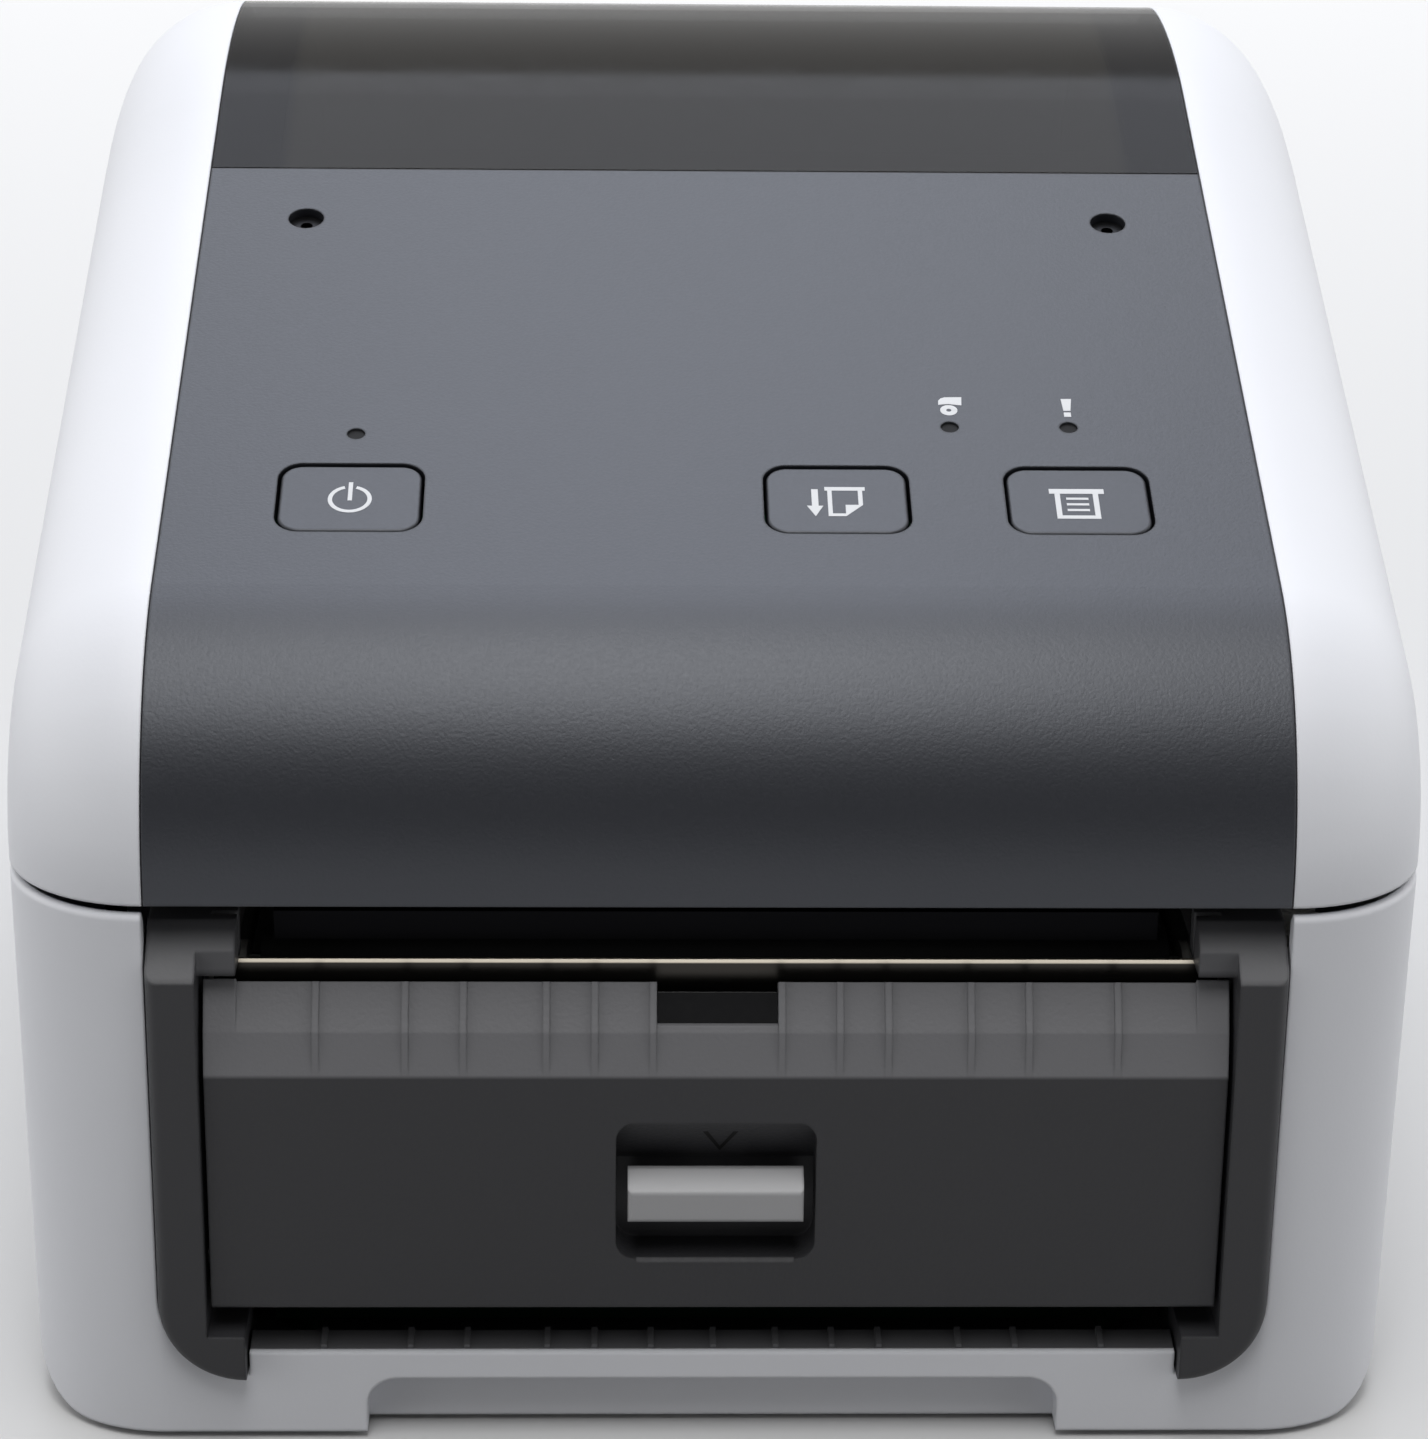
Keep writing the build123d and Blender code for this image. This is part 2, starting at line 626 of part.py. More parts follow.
with BuildPart() as peel_roller:
    rod_x(-roller_half, roller_half, roller_y, roller_z, roller_radius)
    rod_x(-door_half, door_half, roller_y, roller_z, roller_pin)
save(peel_roller, "peel_roller")

# Lever: a grey grip on the outside, a stem through the pocket's floor and a keeper behind it
lever_proud = 0.7           # in front of the door
lever_tall = 4.3
lever_front_y = door_front_y - lever_proud
lever_edge = 0.6
ramp_deep = 2.9             # its top, which slopes up to a crest for the fingertip
ramp_rise = 2.0
crest_deep = 0.8
lever_top_z = lever_low_z + lever_tall
crest_z = lever_top_z + ramp_rise
lever_back_y = lever_front_y + ramp_deep + crest_deep
keeper_half = 7.0
keeper_wall = 1.4
keeper_rise = 4.0
keeper_back_y = pocket_floor_y + pocket_wall + seat
with BuildPart() as door_lever:
    side_prism(((lever_front_y, lever_low_z), (lever_front_y, lever_top_z),
                (lever_front_y + ramp_deep, crest_z), (lever_back_y, crest_z), (lever_back_y, lever_low_z)),
               -lever_half, lever_half)
    fillet(door_lever.faces().sort_by(Axis.Y)[0].edges(), lever_edge)
    block((-stem_half, lever_back_y - crest_deep, stem_low_z),
          (stem_half, keeper_back_y + keeper_wall, stem_high_z))
    block((-keeper_half, keeper_back_y, stem_low_z),
          (keeper_half, keeper_back_y + keeper_wall, stem_high_z + keeper_rise))
save(door_lever, "door_lever")

# Platen roller and the plates that carry it
platen_room = 3.0           # rubber's ends to the side plates
plate_room = 2.0            # side plates to the roll tray
plate_brow = 3.5            # plate over the platen's shaft
plate_wall = 2.0
plate_inner = platen_length / 2 + platen_room
plate_outer = plate_inner + plate_wall
plate_front_y = frame_back + seat
plate_back_y = roll_y - cradle_outer - plate_room
plate_top_z = platen_z + shaft_radius + plate_brow
bush_wall = 2.0
bush_flange = 1.0
tooth_module = 1.0
tooth_tip = 0.9             # tooth over its pitch circle, in modules
tooth_root = 1.2            # and below it
pressure_angle = 20.0
gear_wall = 5.0
gear_gap = 1.0
collar_long = 9.2           # post's collar beside the right-hand plate
gear_x = max(band_half + gear_gap, plate_outer + collar_long)
platen_teeth = 20
idler_teeth = 30
pinion_teeth = 14
mesh_slack = 0.1
idler_angle = -75.0
pinion_angle = -10.0
post_radius = 2.5
motor_radius = 17.5
motor_length = 24.0
motor_shaft = 1.5
motor_end = 2.0


def polar(y, z, distance, angle):
    """A point at a distance and angle from another, in side view."""
    return (y + distance * cos(radians(angle)), z + distance * sin(radians(angle)))


def gear_distance(teeth, other_teeth):
    """Distance between the axes of two meshed gears."""
    return tooth_module * (teeth + other_teeth) / 2 + mesh_slack


idler_y, idler_z = polar(platen_y, platen_z, gear_distance(platen_teeth, idler_teeth), idler_angle)
motor_y, motor_z = polar(idler_y, idler_z, gear_distance(idler_teeth, pinion_teeth), pinion_angle)


def spur_gear(plane, teeth, turn, bore, wall):
    """A spur gear on a plane, with a tooth on the given angle and involute flanks drawn as arcs."""
    pitch = tooth_module * teeth / 2
    tip = pitch + tooth_tip * tooth_module
    root = pitch - tooth_root * tooth_module
    base = pitch * cos(radians(pressure_angle))
    half_tooth = pi / (2 * teeth) - mesh_slack / pitch
    lean = tan(radians(pressure_angle)) - radians(pressure_angle)

    def flank(radius):
        """Half the tooth's angle at a radius."""
        reach = max(radius, base)
        press = acos(base / reach)
        return half_tooth + lean - (tan(press) - press)

    def spot(radius, angle):
        """A point of the outline."""
        return (radius * cos(angle), radius * sin(angle))

    with BuildSketch(plane) as outline:
        with BuildLine():
            middle = (max(root, base) + tip) / 2
            for index in range(teeth):
                axis = radians(turn) + 2 * pi * index / teeth
                step = 2 * pi / teeth
                Line(spot(root, axis - flank(root)), spot(max(root, base), axis - flank(base)))
                ThreePointArc(spot(max(root, base), axis - flank(base)), spot(middle, axis - flank(middle)),
                              spot(tip, axis - flank(tip)))
                ThreePointArc(spot(tip, axis - flank(tip)), spot(tip, axis), spot(tip, axis + flank(tip)))
                ThreePointArc(spot(tip, axis + flank(tip)), spot(middle, axis + flank(middle)),
                              spot(max(root, base), axis + flank(base)))
                Line(spot(max(root, base), axis + flank(base)), spot(root, axis + flank(root)))
                ThreePointArc(spot(root, axis + flank(root)), spot(root, axis + step / 2),
                              spot(root, axis + step - flank(root)))
        make_face()
        Circle(bore, mode=Mode.SUBTRACT)
    extrude(outline.sketch, amount=wall)


def gear_plane(y, z):
    """The plane of a drive gear, with the gear's centre as its origin."""
    return Plane(origin=(gear_x, y, z), x_dir=(0, 1, 0), z_dir=(1, 0, 0))


platen_turn = idler_angle
idler_turn = idler_angle + 180 + 180 / idler_teeth
pinion_lag = (idler_turn - pinion_angle) * idler_teeth / pinion_teeth
pinion_turn = pinion_angle + 180 - pinion_lag + 180 / pinion_teeth
gear_end = gear_x + gear_wall

with BuildPart() as platen_shaft:
    rod_x(-plate_outer - bush_wall, gear_end, platen_y, platen_z, shaft_radius)
save(platen_shaft, "platen_shaft")

with BuildPart() as platen_rubber:
    rod_x(-platen_length / 2, platen_length / 2, platen_y, platen_z, platen_radius)
    rod_x(-platen_length / 2, platen_length / 2, platen_y, platen_z, shaft_radius, mode=Mode.SUBTRACT)
save(platen_rubber, "platen_rubber")

with BuildPart() as platen_gear:
    spur_gear(gear_plane(platen_y, platen_z), platen_teeth, platen_turn, shaft_radius, gear_wall)
save(platen_gear, "platen_gear")

with BuildPart() as idler_gear:
    spur_gear(gear_plane(idler_y, idler_z), idler_teeth, idler_turn, post_radius + slip, gear_wall)
save(idler_gear, "idler_gear")

with BuildPart() as motor_pinion:
    spur_gear(gear_plane(motor_y, motor_z), pinion_teeth, pinion_turn, motor_shaft, gear_wall)
    rod_x(plate_inner - motor_length / 2, gear_end, motor_y, motor_z, motor_shaft)
save(motor_pinion, "motor_pinion")

# Steel side plates on the bottom plate, with the bushes, the gear post and the motor
foot_reach = 10.0
foot_long = 20.0
brow_long = 10.0
plate_step = 10.0           # plate's back edge below the platen's axis
for side, name in ((-1, "chassis_plate_left"), (1, "chassis_plate_right")):
    with BuildPart() as chassis_plate:
        x0, x1 = sorted((side * plate_inner, side * plate_outer))
        side_prism(((plate_front_y, plate_low_z), (plate_front_y, plate_top_z),
                    (platen_y + brow_long, plate_top_z),
                    (plate_back_y, platen_z - plate_step), (plate_back_y, plate_low_z)), x0, x1)
        x2, x3 = sorted((side * plate_inner, side * (plate_outer + foot_reach)))
        block((x2, plate_back_y - foot_long, plate_low_z), (x3, plate_back_y, plate_low_z + plate_wall))
        rod_x(x0, x1, platen_y, platen_z, shaft_radius + bush_wall, mode=Mode.SUBTRACT)
        if side > 0:
            rod_x(x0, x1, idler_y, idler_z, post_radius, mode=Mode.SUBTRACT)
            rod_x(x0, x1, motor_y, motor_z, 2 * motor_shaft, mode=Mode.SUBTRACT)
    save(chassis_plate, name)

with BuildPart() as platen_bushes:
    for side in (-1, 1):
        x0, x1 = sorted((side * (plate_inner - bush_flange), side * (plate_outer + bush_flange)))
        rod_x(x0, x1, platen_y, platen_z, shaft_radius + bush_wall)
        rod_x(x0, x1, platen_y, platen_z, shaft_radius + slip, mode=Mode.SUBTRACT)
save(platen_bushes, "platen_bushes")

with BuildPart() as gear_post:
    rod_x(plate_inner, gear_end, idler_y, idler_z, post_radius)
    rod_x(plate_outer, gear_x - seat, idler_y, idler_z, 2 * post_radius)
save(gear_post, "gear_post")

with BuildPart() as stepper_motor:
    rod_x(plate_inner - motor_length, plate_inner, motor_y, motor_z, motor_radius)
    rod_x(plate_inner - motor_length + motor_end, plate_inner, motor_y, motor_z, motor_shaft + slip,
          mode=Mode.SUBTRACT)
save(stepper_motor, "stepper_motor")

# Roll tray: a half-round cradle, its end walls and the deck that leads to the platen
tray_outer = tray_half + tray_wall
tray_sink = 4.6             # tray's top edge below the base's rim
deck_drop = 0.5             # deck below the platen's axis
deck_gap = 0.5              # deck to the side plates
deck_setback = 9.0          # deck behind the platen's axis
tray_top_z = rim_z - tray_sink
deck_top_z = platen_z - deck_drop
deck_front_y = platen_y + deck_setback
deck_half = plate_inner - deck_gap
screw_radius = 1.5
ear_radius = 5.0
ear_inset = 4.5             # ears in from the edge of the bottom plate
ear_spread = 26.0           # ears before and behind the roll's axis
ear_x = plate_half_x - ear_inset
ear_places = [(side * ear_x, roll_y + way * ear_spread) for side in (-1, 1) for way in (-1, 1)]
web_half = 2.0
web_rise = 10.0
rack_low_z = plate_low_z + rack_lift
rack_width = 4.0
guide_teeth = 16
guide_pitch = tooth_module * guide_teeth / 2
neck_long = 10.0
neck_wide = 4.0
neck_rise = 4.0
slot_inset = 2.0            # slots end this far inside the tray's walls
slot_start = 4.0
slot_gap = 0.4
slot_rise = 3.0
slot_reach = tray_half - slot_inset
guide_wall = 2.6
guide_out = 5.4             # outer face of a guide at rest to the tray's wall
guide_inner = tray_half - guide_out - guide_wall
rack_line = guide_pitch + mesh_slack
rack_back = rack_line + tooth_root * tooth_module
rack_middle = rack_back + rack_width / 2
with BuildPart() as roll_tray:
    rod_x(-tray_outer, tray_outer, roll_y, roll_z, cradle_outer)
    block((-deck_half, deck_front_y, deck_top_z - tray_wall),
          (deck_half, roll_y - cradle + tray_wall, deck_top_z))
    rod_x(-tray_half, tray_half, roll_y, roll_z, cradle, mode=Mode.SUBTRACT)
    block((-half, front, tray_top_z), (half, back + cradle, 3 * height), mode=Mode.SUBTRACT)
    for x, y in ear_places:
        rod_z(x, y, plate_low_z, plate_low_z + 4 * tray_wall, ear_radius)
        x0, x1 = sorted((x, x / abs(x) * tray_half))
        block((x0, y - web_half, plate_low_z), (x1, y + web_half, roll_z - cradle + web_rise))
        rod_z(x, y, plate_low_z, plate_low_z + 2 * tray_wall, screw_radius, mode=Mode.SUBTRACT)
    for side in (-1, 1):
        x0, x1 = sorted((side * slot_start, side * slot_reach))
        y = roll_y + side * rack_middle
        slot_half = neck_wide / 2 + slot_gap
        block((x0, y - slot_half, 0), (x1, y + slot_half, roll_z - cradle + slot_rise), mode=Mode.SUBTRACT)
save(roll_tray, "roll_tray")

# Roll guides: two plates in the cradle, centred by racks on one pinion under it
guide_half_y = 24.0
guide_drop = 8.0            # guides' top below the tray's top edge
guide_top_z = tray_top_z - guide_drop
guide_corner = 14.0
guide_clear = 0.6
rack_over = 12.0
rack_pitch = pi * tooth_module
rack_lean = tan(radians(pressure_angle))
rack_first = -3
rack_last = 14


def rack_half(depth_in):
    """Half a rack tooth's width at a depth behind its pitch line."""
    return rack_pitch / 4 - mesh_slack + depth_in * rack_lean


for side, name in ((-1, "roll_guide_left"), (1, "roll_guide_right")):
    with BuildPart() as roll_guide:
        x0, x1 = sorted((side * guide_inner, side * (guide_inner + guide_wall)))
        with BuildSketch(Plane.YZ.offset(x0)):
            with Locations((roll_y, roll_z)):
                Circle(cradle - guide_clear)
            with Locations((roll_y, guide_top_z / 2)):
                RectangleRounded(2 * guide_half_y, guide_top_z, guide_corner, mode=Mode.INTERSECT)
            with Locations((roll_y, roll_z - cradle + guide_corner / 2)):
                Rectangle(2 * guide_half_y - guide_corner, guide_corner - 2 * guide_clear)
            with Locations((roll_y, roll_z)):
                Circle(cradle - guide_clear, mode=Mode.INTERSECT)
        extrude(amount=x1 - x0)
        neck_y = roll_y + side * rack_middle
        x0, x1 = sorted((side * (guide_inner + guide_wall - neck_long), side * (guide_inner + guide_wall)))
        block((x0, neck_y - neck_wide / 2, rack_low_z),
              (x1, neck_y + neck_wide / 2, roll_z - cradle + neck_rise))
        x0, x1 = sorted((-side * rack_over, side * (guide_inner + guide_wall)))
        y0, y1 = sorted((roll_y + side * rack_back, roll_y + side * (rack_back + rack_width)))
        block((x0, y0, rack_low_z), (x1, y1, rack_low_z + rack_wall))
        tip = rack_half(-tooth_tip * tooth_module)
        root = rack_half(tooth_root * tooth_module + seat)
        tip_y = roll_y + side * (rack_line - tooth_tip * tooth_module)
        root_y = roll_y + side * (rack_back + seat)
        with BuildSketch(Plane.XY.offset(rack_low_z)):
            for index in range(rack_first, rack_last + 1):
                x = side * (index + 1 / 2) * rack_pitch
                with BuildLine():
                    Polyline((x - tip, tip_y), (x + tip, tip_y), (x + root, root_y),
                             (x - root, root_y), close=True)
                make_face()
        extrude(amount=rack_wall)
    save(roll_guide, name)

with BuildPart() as guide_pinion:
    spur_gear(Plane(origin=(0, roll_y, rack_low_z), x_dir=(1, 0, 0), z_dir=(0, 0, 1)), guide_teeth, 90.0,
              post_radius + slip, rack_wall)
save(guide_pinion, "guide_pinion")

# Bottom plate with its post, its feet and its screws
screw_head = 3.0
screw_recess = 0.4
foot_radius = 7.0
foot_inset = 12.0           # feet in from the edges of the bottom plate
foot_x = plate_half_x - foot_inset
foot_y = (plate_low_y + foot_inset, plate_high_y - foot_inset)
foot_places = [(side * foot_x, y) for side in (-1, 1) for y in foot_y]
with BuildPart() as bottom_plate:
    block((-plate_half_x + seam_gap, plate_low_y + seam_gap, foot_rise),
          (plate_half_x - seam_gap, plate_high_y - seam_gap, floor_top + seat))
    block((-plate_half_x - plate_lip, plate_low_y - plate_lip, floor_top + seat),
          (plate_half_x + plate_lip, plate_high_y + plate_lip, plate_low_z))
    rod_z(0, roll_y, plate_low_z, rack_low_z + rack_wall, post_radius)
    rod_z(0, roll_y, plate_low_z, rack_low_z - seat, 2 * post_radius)
    for x, y in ear_places:
        rod_z(x, y, foot_rise, floor_top, screw_head + seat, mode=Mode.SUBTRACT)
        rod_z(x, y, foot_rise, plate_low_z, screw_radius + seat, mode=Mode.SUBTRACT)
save(bottom_plate, "bottom_plate")

with BuildPart() as bottom_screws:
    for x, y in ear_places:
        rod_z(x, y, foot_rise + screw_recess, floor_top, screw_head)
        rod_z(x, y, floor_top, plate_low_z + 2 * tray_wall, screw_radius)
save(bottom_screws, "bottom_screws")

with BuildPart() as rubber_feet:
    for x, y in foot_places:
        rod_z(x, y, 0, foot_rise, foot_radius)
save(rubber_feet, "rubber_feet")

# Circuit boards, sockets and sensors
board_rise = 3.0
stud_radius = 2.0
stud_inset = 4.0
main_board_gap = 3.0        # board to the side plates
main_board_setback = 20.0
main_board_long = 84.0
main_board_half = plate_inner - main_board_gap
main_board_low = front + main_board_setback
main_board_high = main_board_low + main_board_long
# Across, behind the board's front edge, length, width and height
chips = ((-30.0, 62.0, 24.0, 24.0, 2.5), (-40.0, 22.0, 18.0, 14.0, 6.0), (8.0, 10.0, 30.0, 10.0, 8.0))
with BuildPart() as main_board:
    board_z = plate_low_z + board_rise
    block((-main_board_half, main_board_low, board_z),
          (main_board_half, main_board_high, board_z + board_wall))
    for x, behind, long, short, tall in chips:
        y = main_board_low + behind
        block((x - long / 2, y - short / 2, board_z + board_wall),
              (x + long / 2, y + short / 2, board_z + board_wall + tall))
    for x in (-main_board_half + stud_inset, main_board_half - stud_inset):
        for y in (main_board_low + stud_inset, main_board_high - stud_inset):
            rod_z(x, y, plate_low_z, board_z, stud_radius)
save(main_board, "main_board")

rear_board_inset = 5.0      # in from the back
rear_board_deep = 27.0
rear_stud_setback = 8.0
rear_board_half = band_half - rear_board_inset
rear_board_high = back - rear_board_inset
rear_board_low = rear_board_high - rear_board_deep
with BuildPart() as rear_board:
    block((-rear_board_half, rear_board_low, port_z - board_wall),
          (rear_board_half, rear_board_high, port_z))
    for x in (-rear_board_half + stud_inset, rear_board_half - stud_inset):
        rod_z(x, rear_board_low + rear_stud_setback, plate_low_z, port_z - board_wall, stud_radius)
save(rear_board, "rear_board")

port_wall = 1.0
for name, (x, wide, tall, reach) in ports.items():
    with BuildPart() as port:
        block((x - wide / 2, back - reach, port_z), (x + wide / 2, back - port_wall / 2, port_z + tall))
        block((x - wide / 2 + port_wall, back - reach / 2 - port_wall, port_z + port_wall),
              (x + wide / 2 - port_wall, back, port_z + tall - port_wall), mode=Mode.SUBTRACT)
        if name == "serial_port":
            block((x - wide / 3, back - reach / 2 - 2 * port_wall, port_z + tall / 2 - 2 * port_wall),
                  (x + wide / 3, back - 2 * port_wall, port_z + tall / 2 + 2 * port_wall))
    save(port, name)

media_sensor_x = -11.0
media_sensor_setback = 12.0
media_sensor_long = 14.0
media_sensor_deep = 9.0
media_sensor_tall = 2.0
with BuildPart() as media_sensor:
    y0 = deck_front_y + media_sensor_setback
    block((media_sensor_x - media_sensor_long / 2, y0, deck_top_z),
          (media_sensor_x + media_sensor_long / 2, y0 + media_sensor_deep, deck_top_z + media_sensor_tall))
save(media_sensor, "media_sensor")

# Hinge brackets on the rear wall of the base
bracket_drop = 30.6         # bracket's foot below the rim
bracket_slant = 10.0
bracket_sink = 2.0          # foot's top below the rim
draft_room = 0.9            # drafted wall to the foot
foot_wall = 1.2
bracket_low_z = rim_z - bracket_drop
bracket_front_y = hinge_y - bracket_boss
wall_y = back - skin - draft_room
with BuildPart() as hinge_brackets:
    for side in (-1, 1):
        x0, x1 = sorted((side * bracket_inner, side * bracket_outer))
        side_prism(((bracket_front_y, bracket_low_z + bracket_slant), (bracket_front_y, hinge_z),
                    (hinge_y + bracket_boss, hinge_z), (hinge_y + bracket_boss, cover_z),
                    (wall_y - slip, rim_z - bracket_sink), (wall_y - slip, bracket_low_z)), x0, x1)
        rod_x(x0, x1, hinge_y, hinge_z, bracket_boss)
        rod_x(x0, x1, hinge_y, hinge_z, hinge_pin_radius + slip, mode=Mode.SUBTRACT)
        block((x0, wall_y - foot_wall, bracket_low_z), (x1, wall_y, rim_z - bracket_sink))
save(hinge_brackets, "hinge_brackets")

# Snap catches: sprung hooks on the base that hold pins on the cover's cheeks
catch_inset = 8.0           # hook in from the side
catch_setback = 52.0
catch_drop = 34.6           # hook's foot below the rim
catch_wall = 1.6
catch_half = 5.0
catch_hook = 2.0
catch_foot_gap = 1.0
pin_lift = 5.4
pin_radius = 2.0
catch_x = half - catch_inset
catch_y = front + catch_setback
catch_low_z = rim_z - catch_drop
pin_z = rim_z + pin_lift
hook_low_z = pin_z + pin_radius + seat
hook_high_z = pin_z + pin_radius + catch_hook
with BuildPart() as catch_pins:
    for side in (-1, 1):
        rod_x(side * catch_x, side * (half - skin - seat), catch_y, pin_z, pin_radius)
save(catch_pins, "catch_pins")

with BuildPart() as cover_catches:
    for side in (-1, 1):
        x0, x1 = sorted((side * (catch_x - seat), side * (catch_x - seat - catch_wall)))
        block((x0, catch_y - catch_half, catch_low_z), (x1, catch_y + catch_half, hook_high_z))
        x2, x3 = sorted((side * (catch_x - seat - catch_wall), side * (catch_x + catch_hook)))
        block((x2, catch_y - catch_half, hook_low_z), (x3, catch_y + catch_half, hook_high_z))
        x2, x3 = sorted((side * (catch_x - seat - catch_wall), side * (half - skin - catch_foot_gap)))
        block((x2, catch_y - catch_half, catch_low_z), (x3, catch_y + catch_half, catch_low_z + catch_half))
save(cover_catches, "cover_catches")

# Print head: a ceramic strip under a finned heat sink, floating on a pin in the cover
head_inset = 2.0            # head's ends inside the platen's ends
head_fore = 7.0             # heat sink in front of the platen's axis
head_aft = 11.0             # and behind it
pin_aft = 9.0
ceramic_half = 4.0
ceramic_wall = 1.2
sink_wall = 4.0
fin_start = 2.0
fin_pitch = 2.6
fin_wall = 1.2
fin_rise = 1.6
fin_count = 4
ear_long = 4.0              # ears of the heat sink on the pin
ear_half = 2.0
ear_root = 1.0
head_pin_radius = 1.5
hanger_gap = 1.0            # hangers of the bracket beside the ears
hanger_wall = 3.0
hanger_half = 3.0
post_inset = 4.2            # posts in from the edge of the dark strip
post_half = 1.5
post_gap = 0.8              # posts to the cover's inner frame
post_fore = 3.0
head_half = platen_length / 2 - head_inset
head_front_y = platen_y - head_fore
head_back_y = platen_y + head_aft
head_low_z = platen_z + platen_radius + paper_gap
sink_top_z = head_low_z + ceramic_wall + sink_wall
head_pin_y = platen_y + pin_aft
head_pin_z = sink_top_z + ear_half
bracket_z = head_pin_z + hanger_half
post_x = band_half - post_inset
with BuildPart() as print_head:
    block((-head_half, platen_y - ceramic_half, head_low_z),
          (head_half, platen_y + ceramic_half, head_low_z + ceramic_wall))
save(print_head, "print_head")

with BuildPart() as heat_sink:
    block((-head_half, head_front_y, head_low_z + ceramic_wall), (head_half, head_back_y, sink_top_z))
    for index in range(fin_count):
        y = head_front_y + fin_start + index * fin_pitch
        block((-head_half, y - fin_wall / 2, sink_top_z - ear_root),
              (head_half, y + fin_wall / 2, sink_top_z + fin_rise))
    for side in (-1, 1):
        x0, x1 = sorted((side * (head_half - ear_long), side * head_half))
        block((x0, head_pin_y - ear_half, sink_top_z - ear_root),
              (x1, head_pin_y + ear_half, head_pin_z + ear_half))
        rod_x(x0, x1, head_pin_y, head_pin_z, head_pin_radius + slip, mode=Mode.SUBTRACT)
save(heat_sink, "heat_sink")

hanger_outer = head_half + hanger_gap + hanger_wall
with BuildPart() as head_pin:
    rod_x(-hanger_outer, hanger_outer, head_pin_y, head_pin_z, head_pin_radius)
save(head_pin, "head_pin")

post_front_y = platen_y + post_fore
liner_drop = (skin + seat + liner_wall) / cos(slope)
post_top_z = panel_front_z + (post_front_y - front) * tan(slope) - liner_drop - post_gap
bracket_front = head_front_y + hanger_half
bracket_back = head_back_y + hanger_half
with BuildPart() as head_bracket:
    block((-post_x - post_half, bracket_front, bracket_z),
          (post_x + post_half, bracket_back, bracket_z + plate_wall))
    for side in (-1, 1):
        x0, x1 = sorted((side * (head_half + hanger_gap), side * hanger_outer))
        block((x0, head_pin_y - hanger_half, head_pin_z - hanger_half),
              (x1, head_pin_y + hanger_half, bracket_z))
        rod_x(x0, x1, head_pin_y, head_pin_z, head_pin_radius, mode=Mode.SUBTRACT)
        block((side * post_x - post_half, post_front_y, bracket_z),
              (side * post_x + post_half, bracket_back, post_top_z))
save(head_bracket, "head_bracket")

leaf_x = 30.0
leaf_half = 4.0
leaf_wall = 0.4
leaf_start = 4.0            # behind the front of the heat sink
leaf_end = 4.0              # in front of the pin
leaf_dip = 10.0             # where the leaf presses on the heat sink
leaf_gap = 0.1
leaf_low_z = sink_top_z + fin_rise + leaf_gap
with BuildPart() as head_springs:
    for side in (-1, 1):
        leaf_y = head_front_y + leaf_start
        dip_y = head_front_y + leaf_dip
        side_prism(((leaf_y, bracket_z - leaf_wall - slip), (leaf_y, bracket_z - slip),
                    (head_pin_y - leaf_end, bracket_z - slip), (dip_y, leaf_low_z),
                    (dip_y, leaf_low_z + leaf_wall)),
                   side * leaf_x - leaf_half, side * leaf_x + leaf_half)
save(head_springs, "head_springs")
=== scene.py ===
import math

import bmesh
import bpy
from mathutils import Matrix, Vector


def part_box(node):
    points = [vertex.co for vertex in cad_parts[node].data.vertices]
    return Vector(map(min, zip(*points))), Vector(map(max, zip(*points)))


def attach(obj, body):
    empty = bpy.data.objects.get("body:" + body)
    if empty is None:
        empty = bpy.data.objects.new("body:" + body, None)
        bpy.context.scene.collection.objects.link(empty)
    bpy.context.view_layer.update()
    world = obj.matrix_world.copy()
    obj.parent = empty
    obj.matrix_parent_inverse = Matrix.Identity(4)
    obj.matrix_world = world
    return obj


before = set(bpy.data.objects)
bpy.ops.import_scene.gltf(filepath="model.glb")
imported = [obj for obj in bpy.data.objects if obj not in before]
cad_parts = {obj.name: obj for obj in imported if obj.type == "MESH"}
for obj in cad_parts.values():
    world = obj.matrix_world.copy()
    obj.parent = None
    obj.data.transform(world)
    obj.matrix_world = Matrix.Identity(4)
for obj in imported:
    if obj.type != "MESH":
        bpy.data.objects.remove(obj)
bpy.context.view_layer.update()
bpy.context.scene.view_settings.view_transform = "Standard"
MM = 0.001

# White shells
# The base tub and the cover's two cheeks are moulded in white ABS.
# Their tool was spark eroded, so the skin has a fine even grain and a satin gloss.
shell_white = (0.79, 0.80, 0.84)
drift_scale = 22.0
drift_detail = 3.0
drift_tone = 0.04
pore_detail = 2.5
satin_drift = 0.06
edge_samples = 4


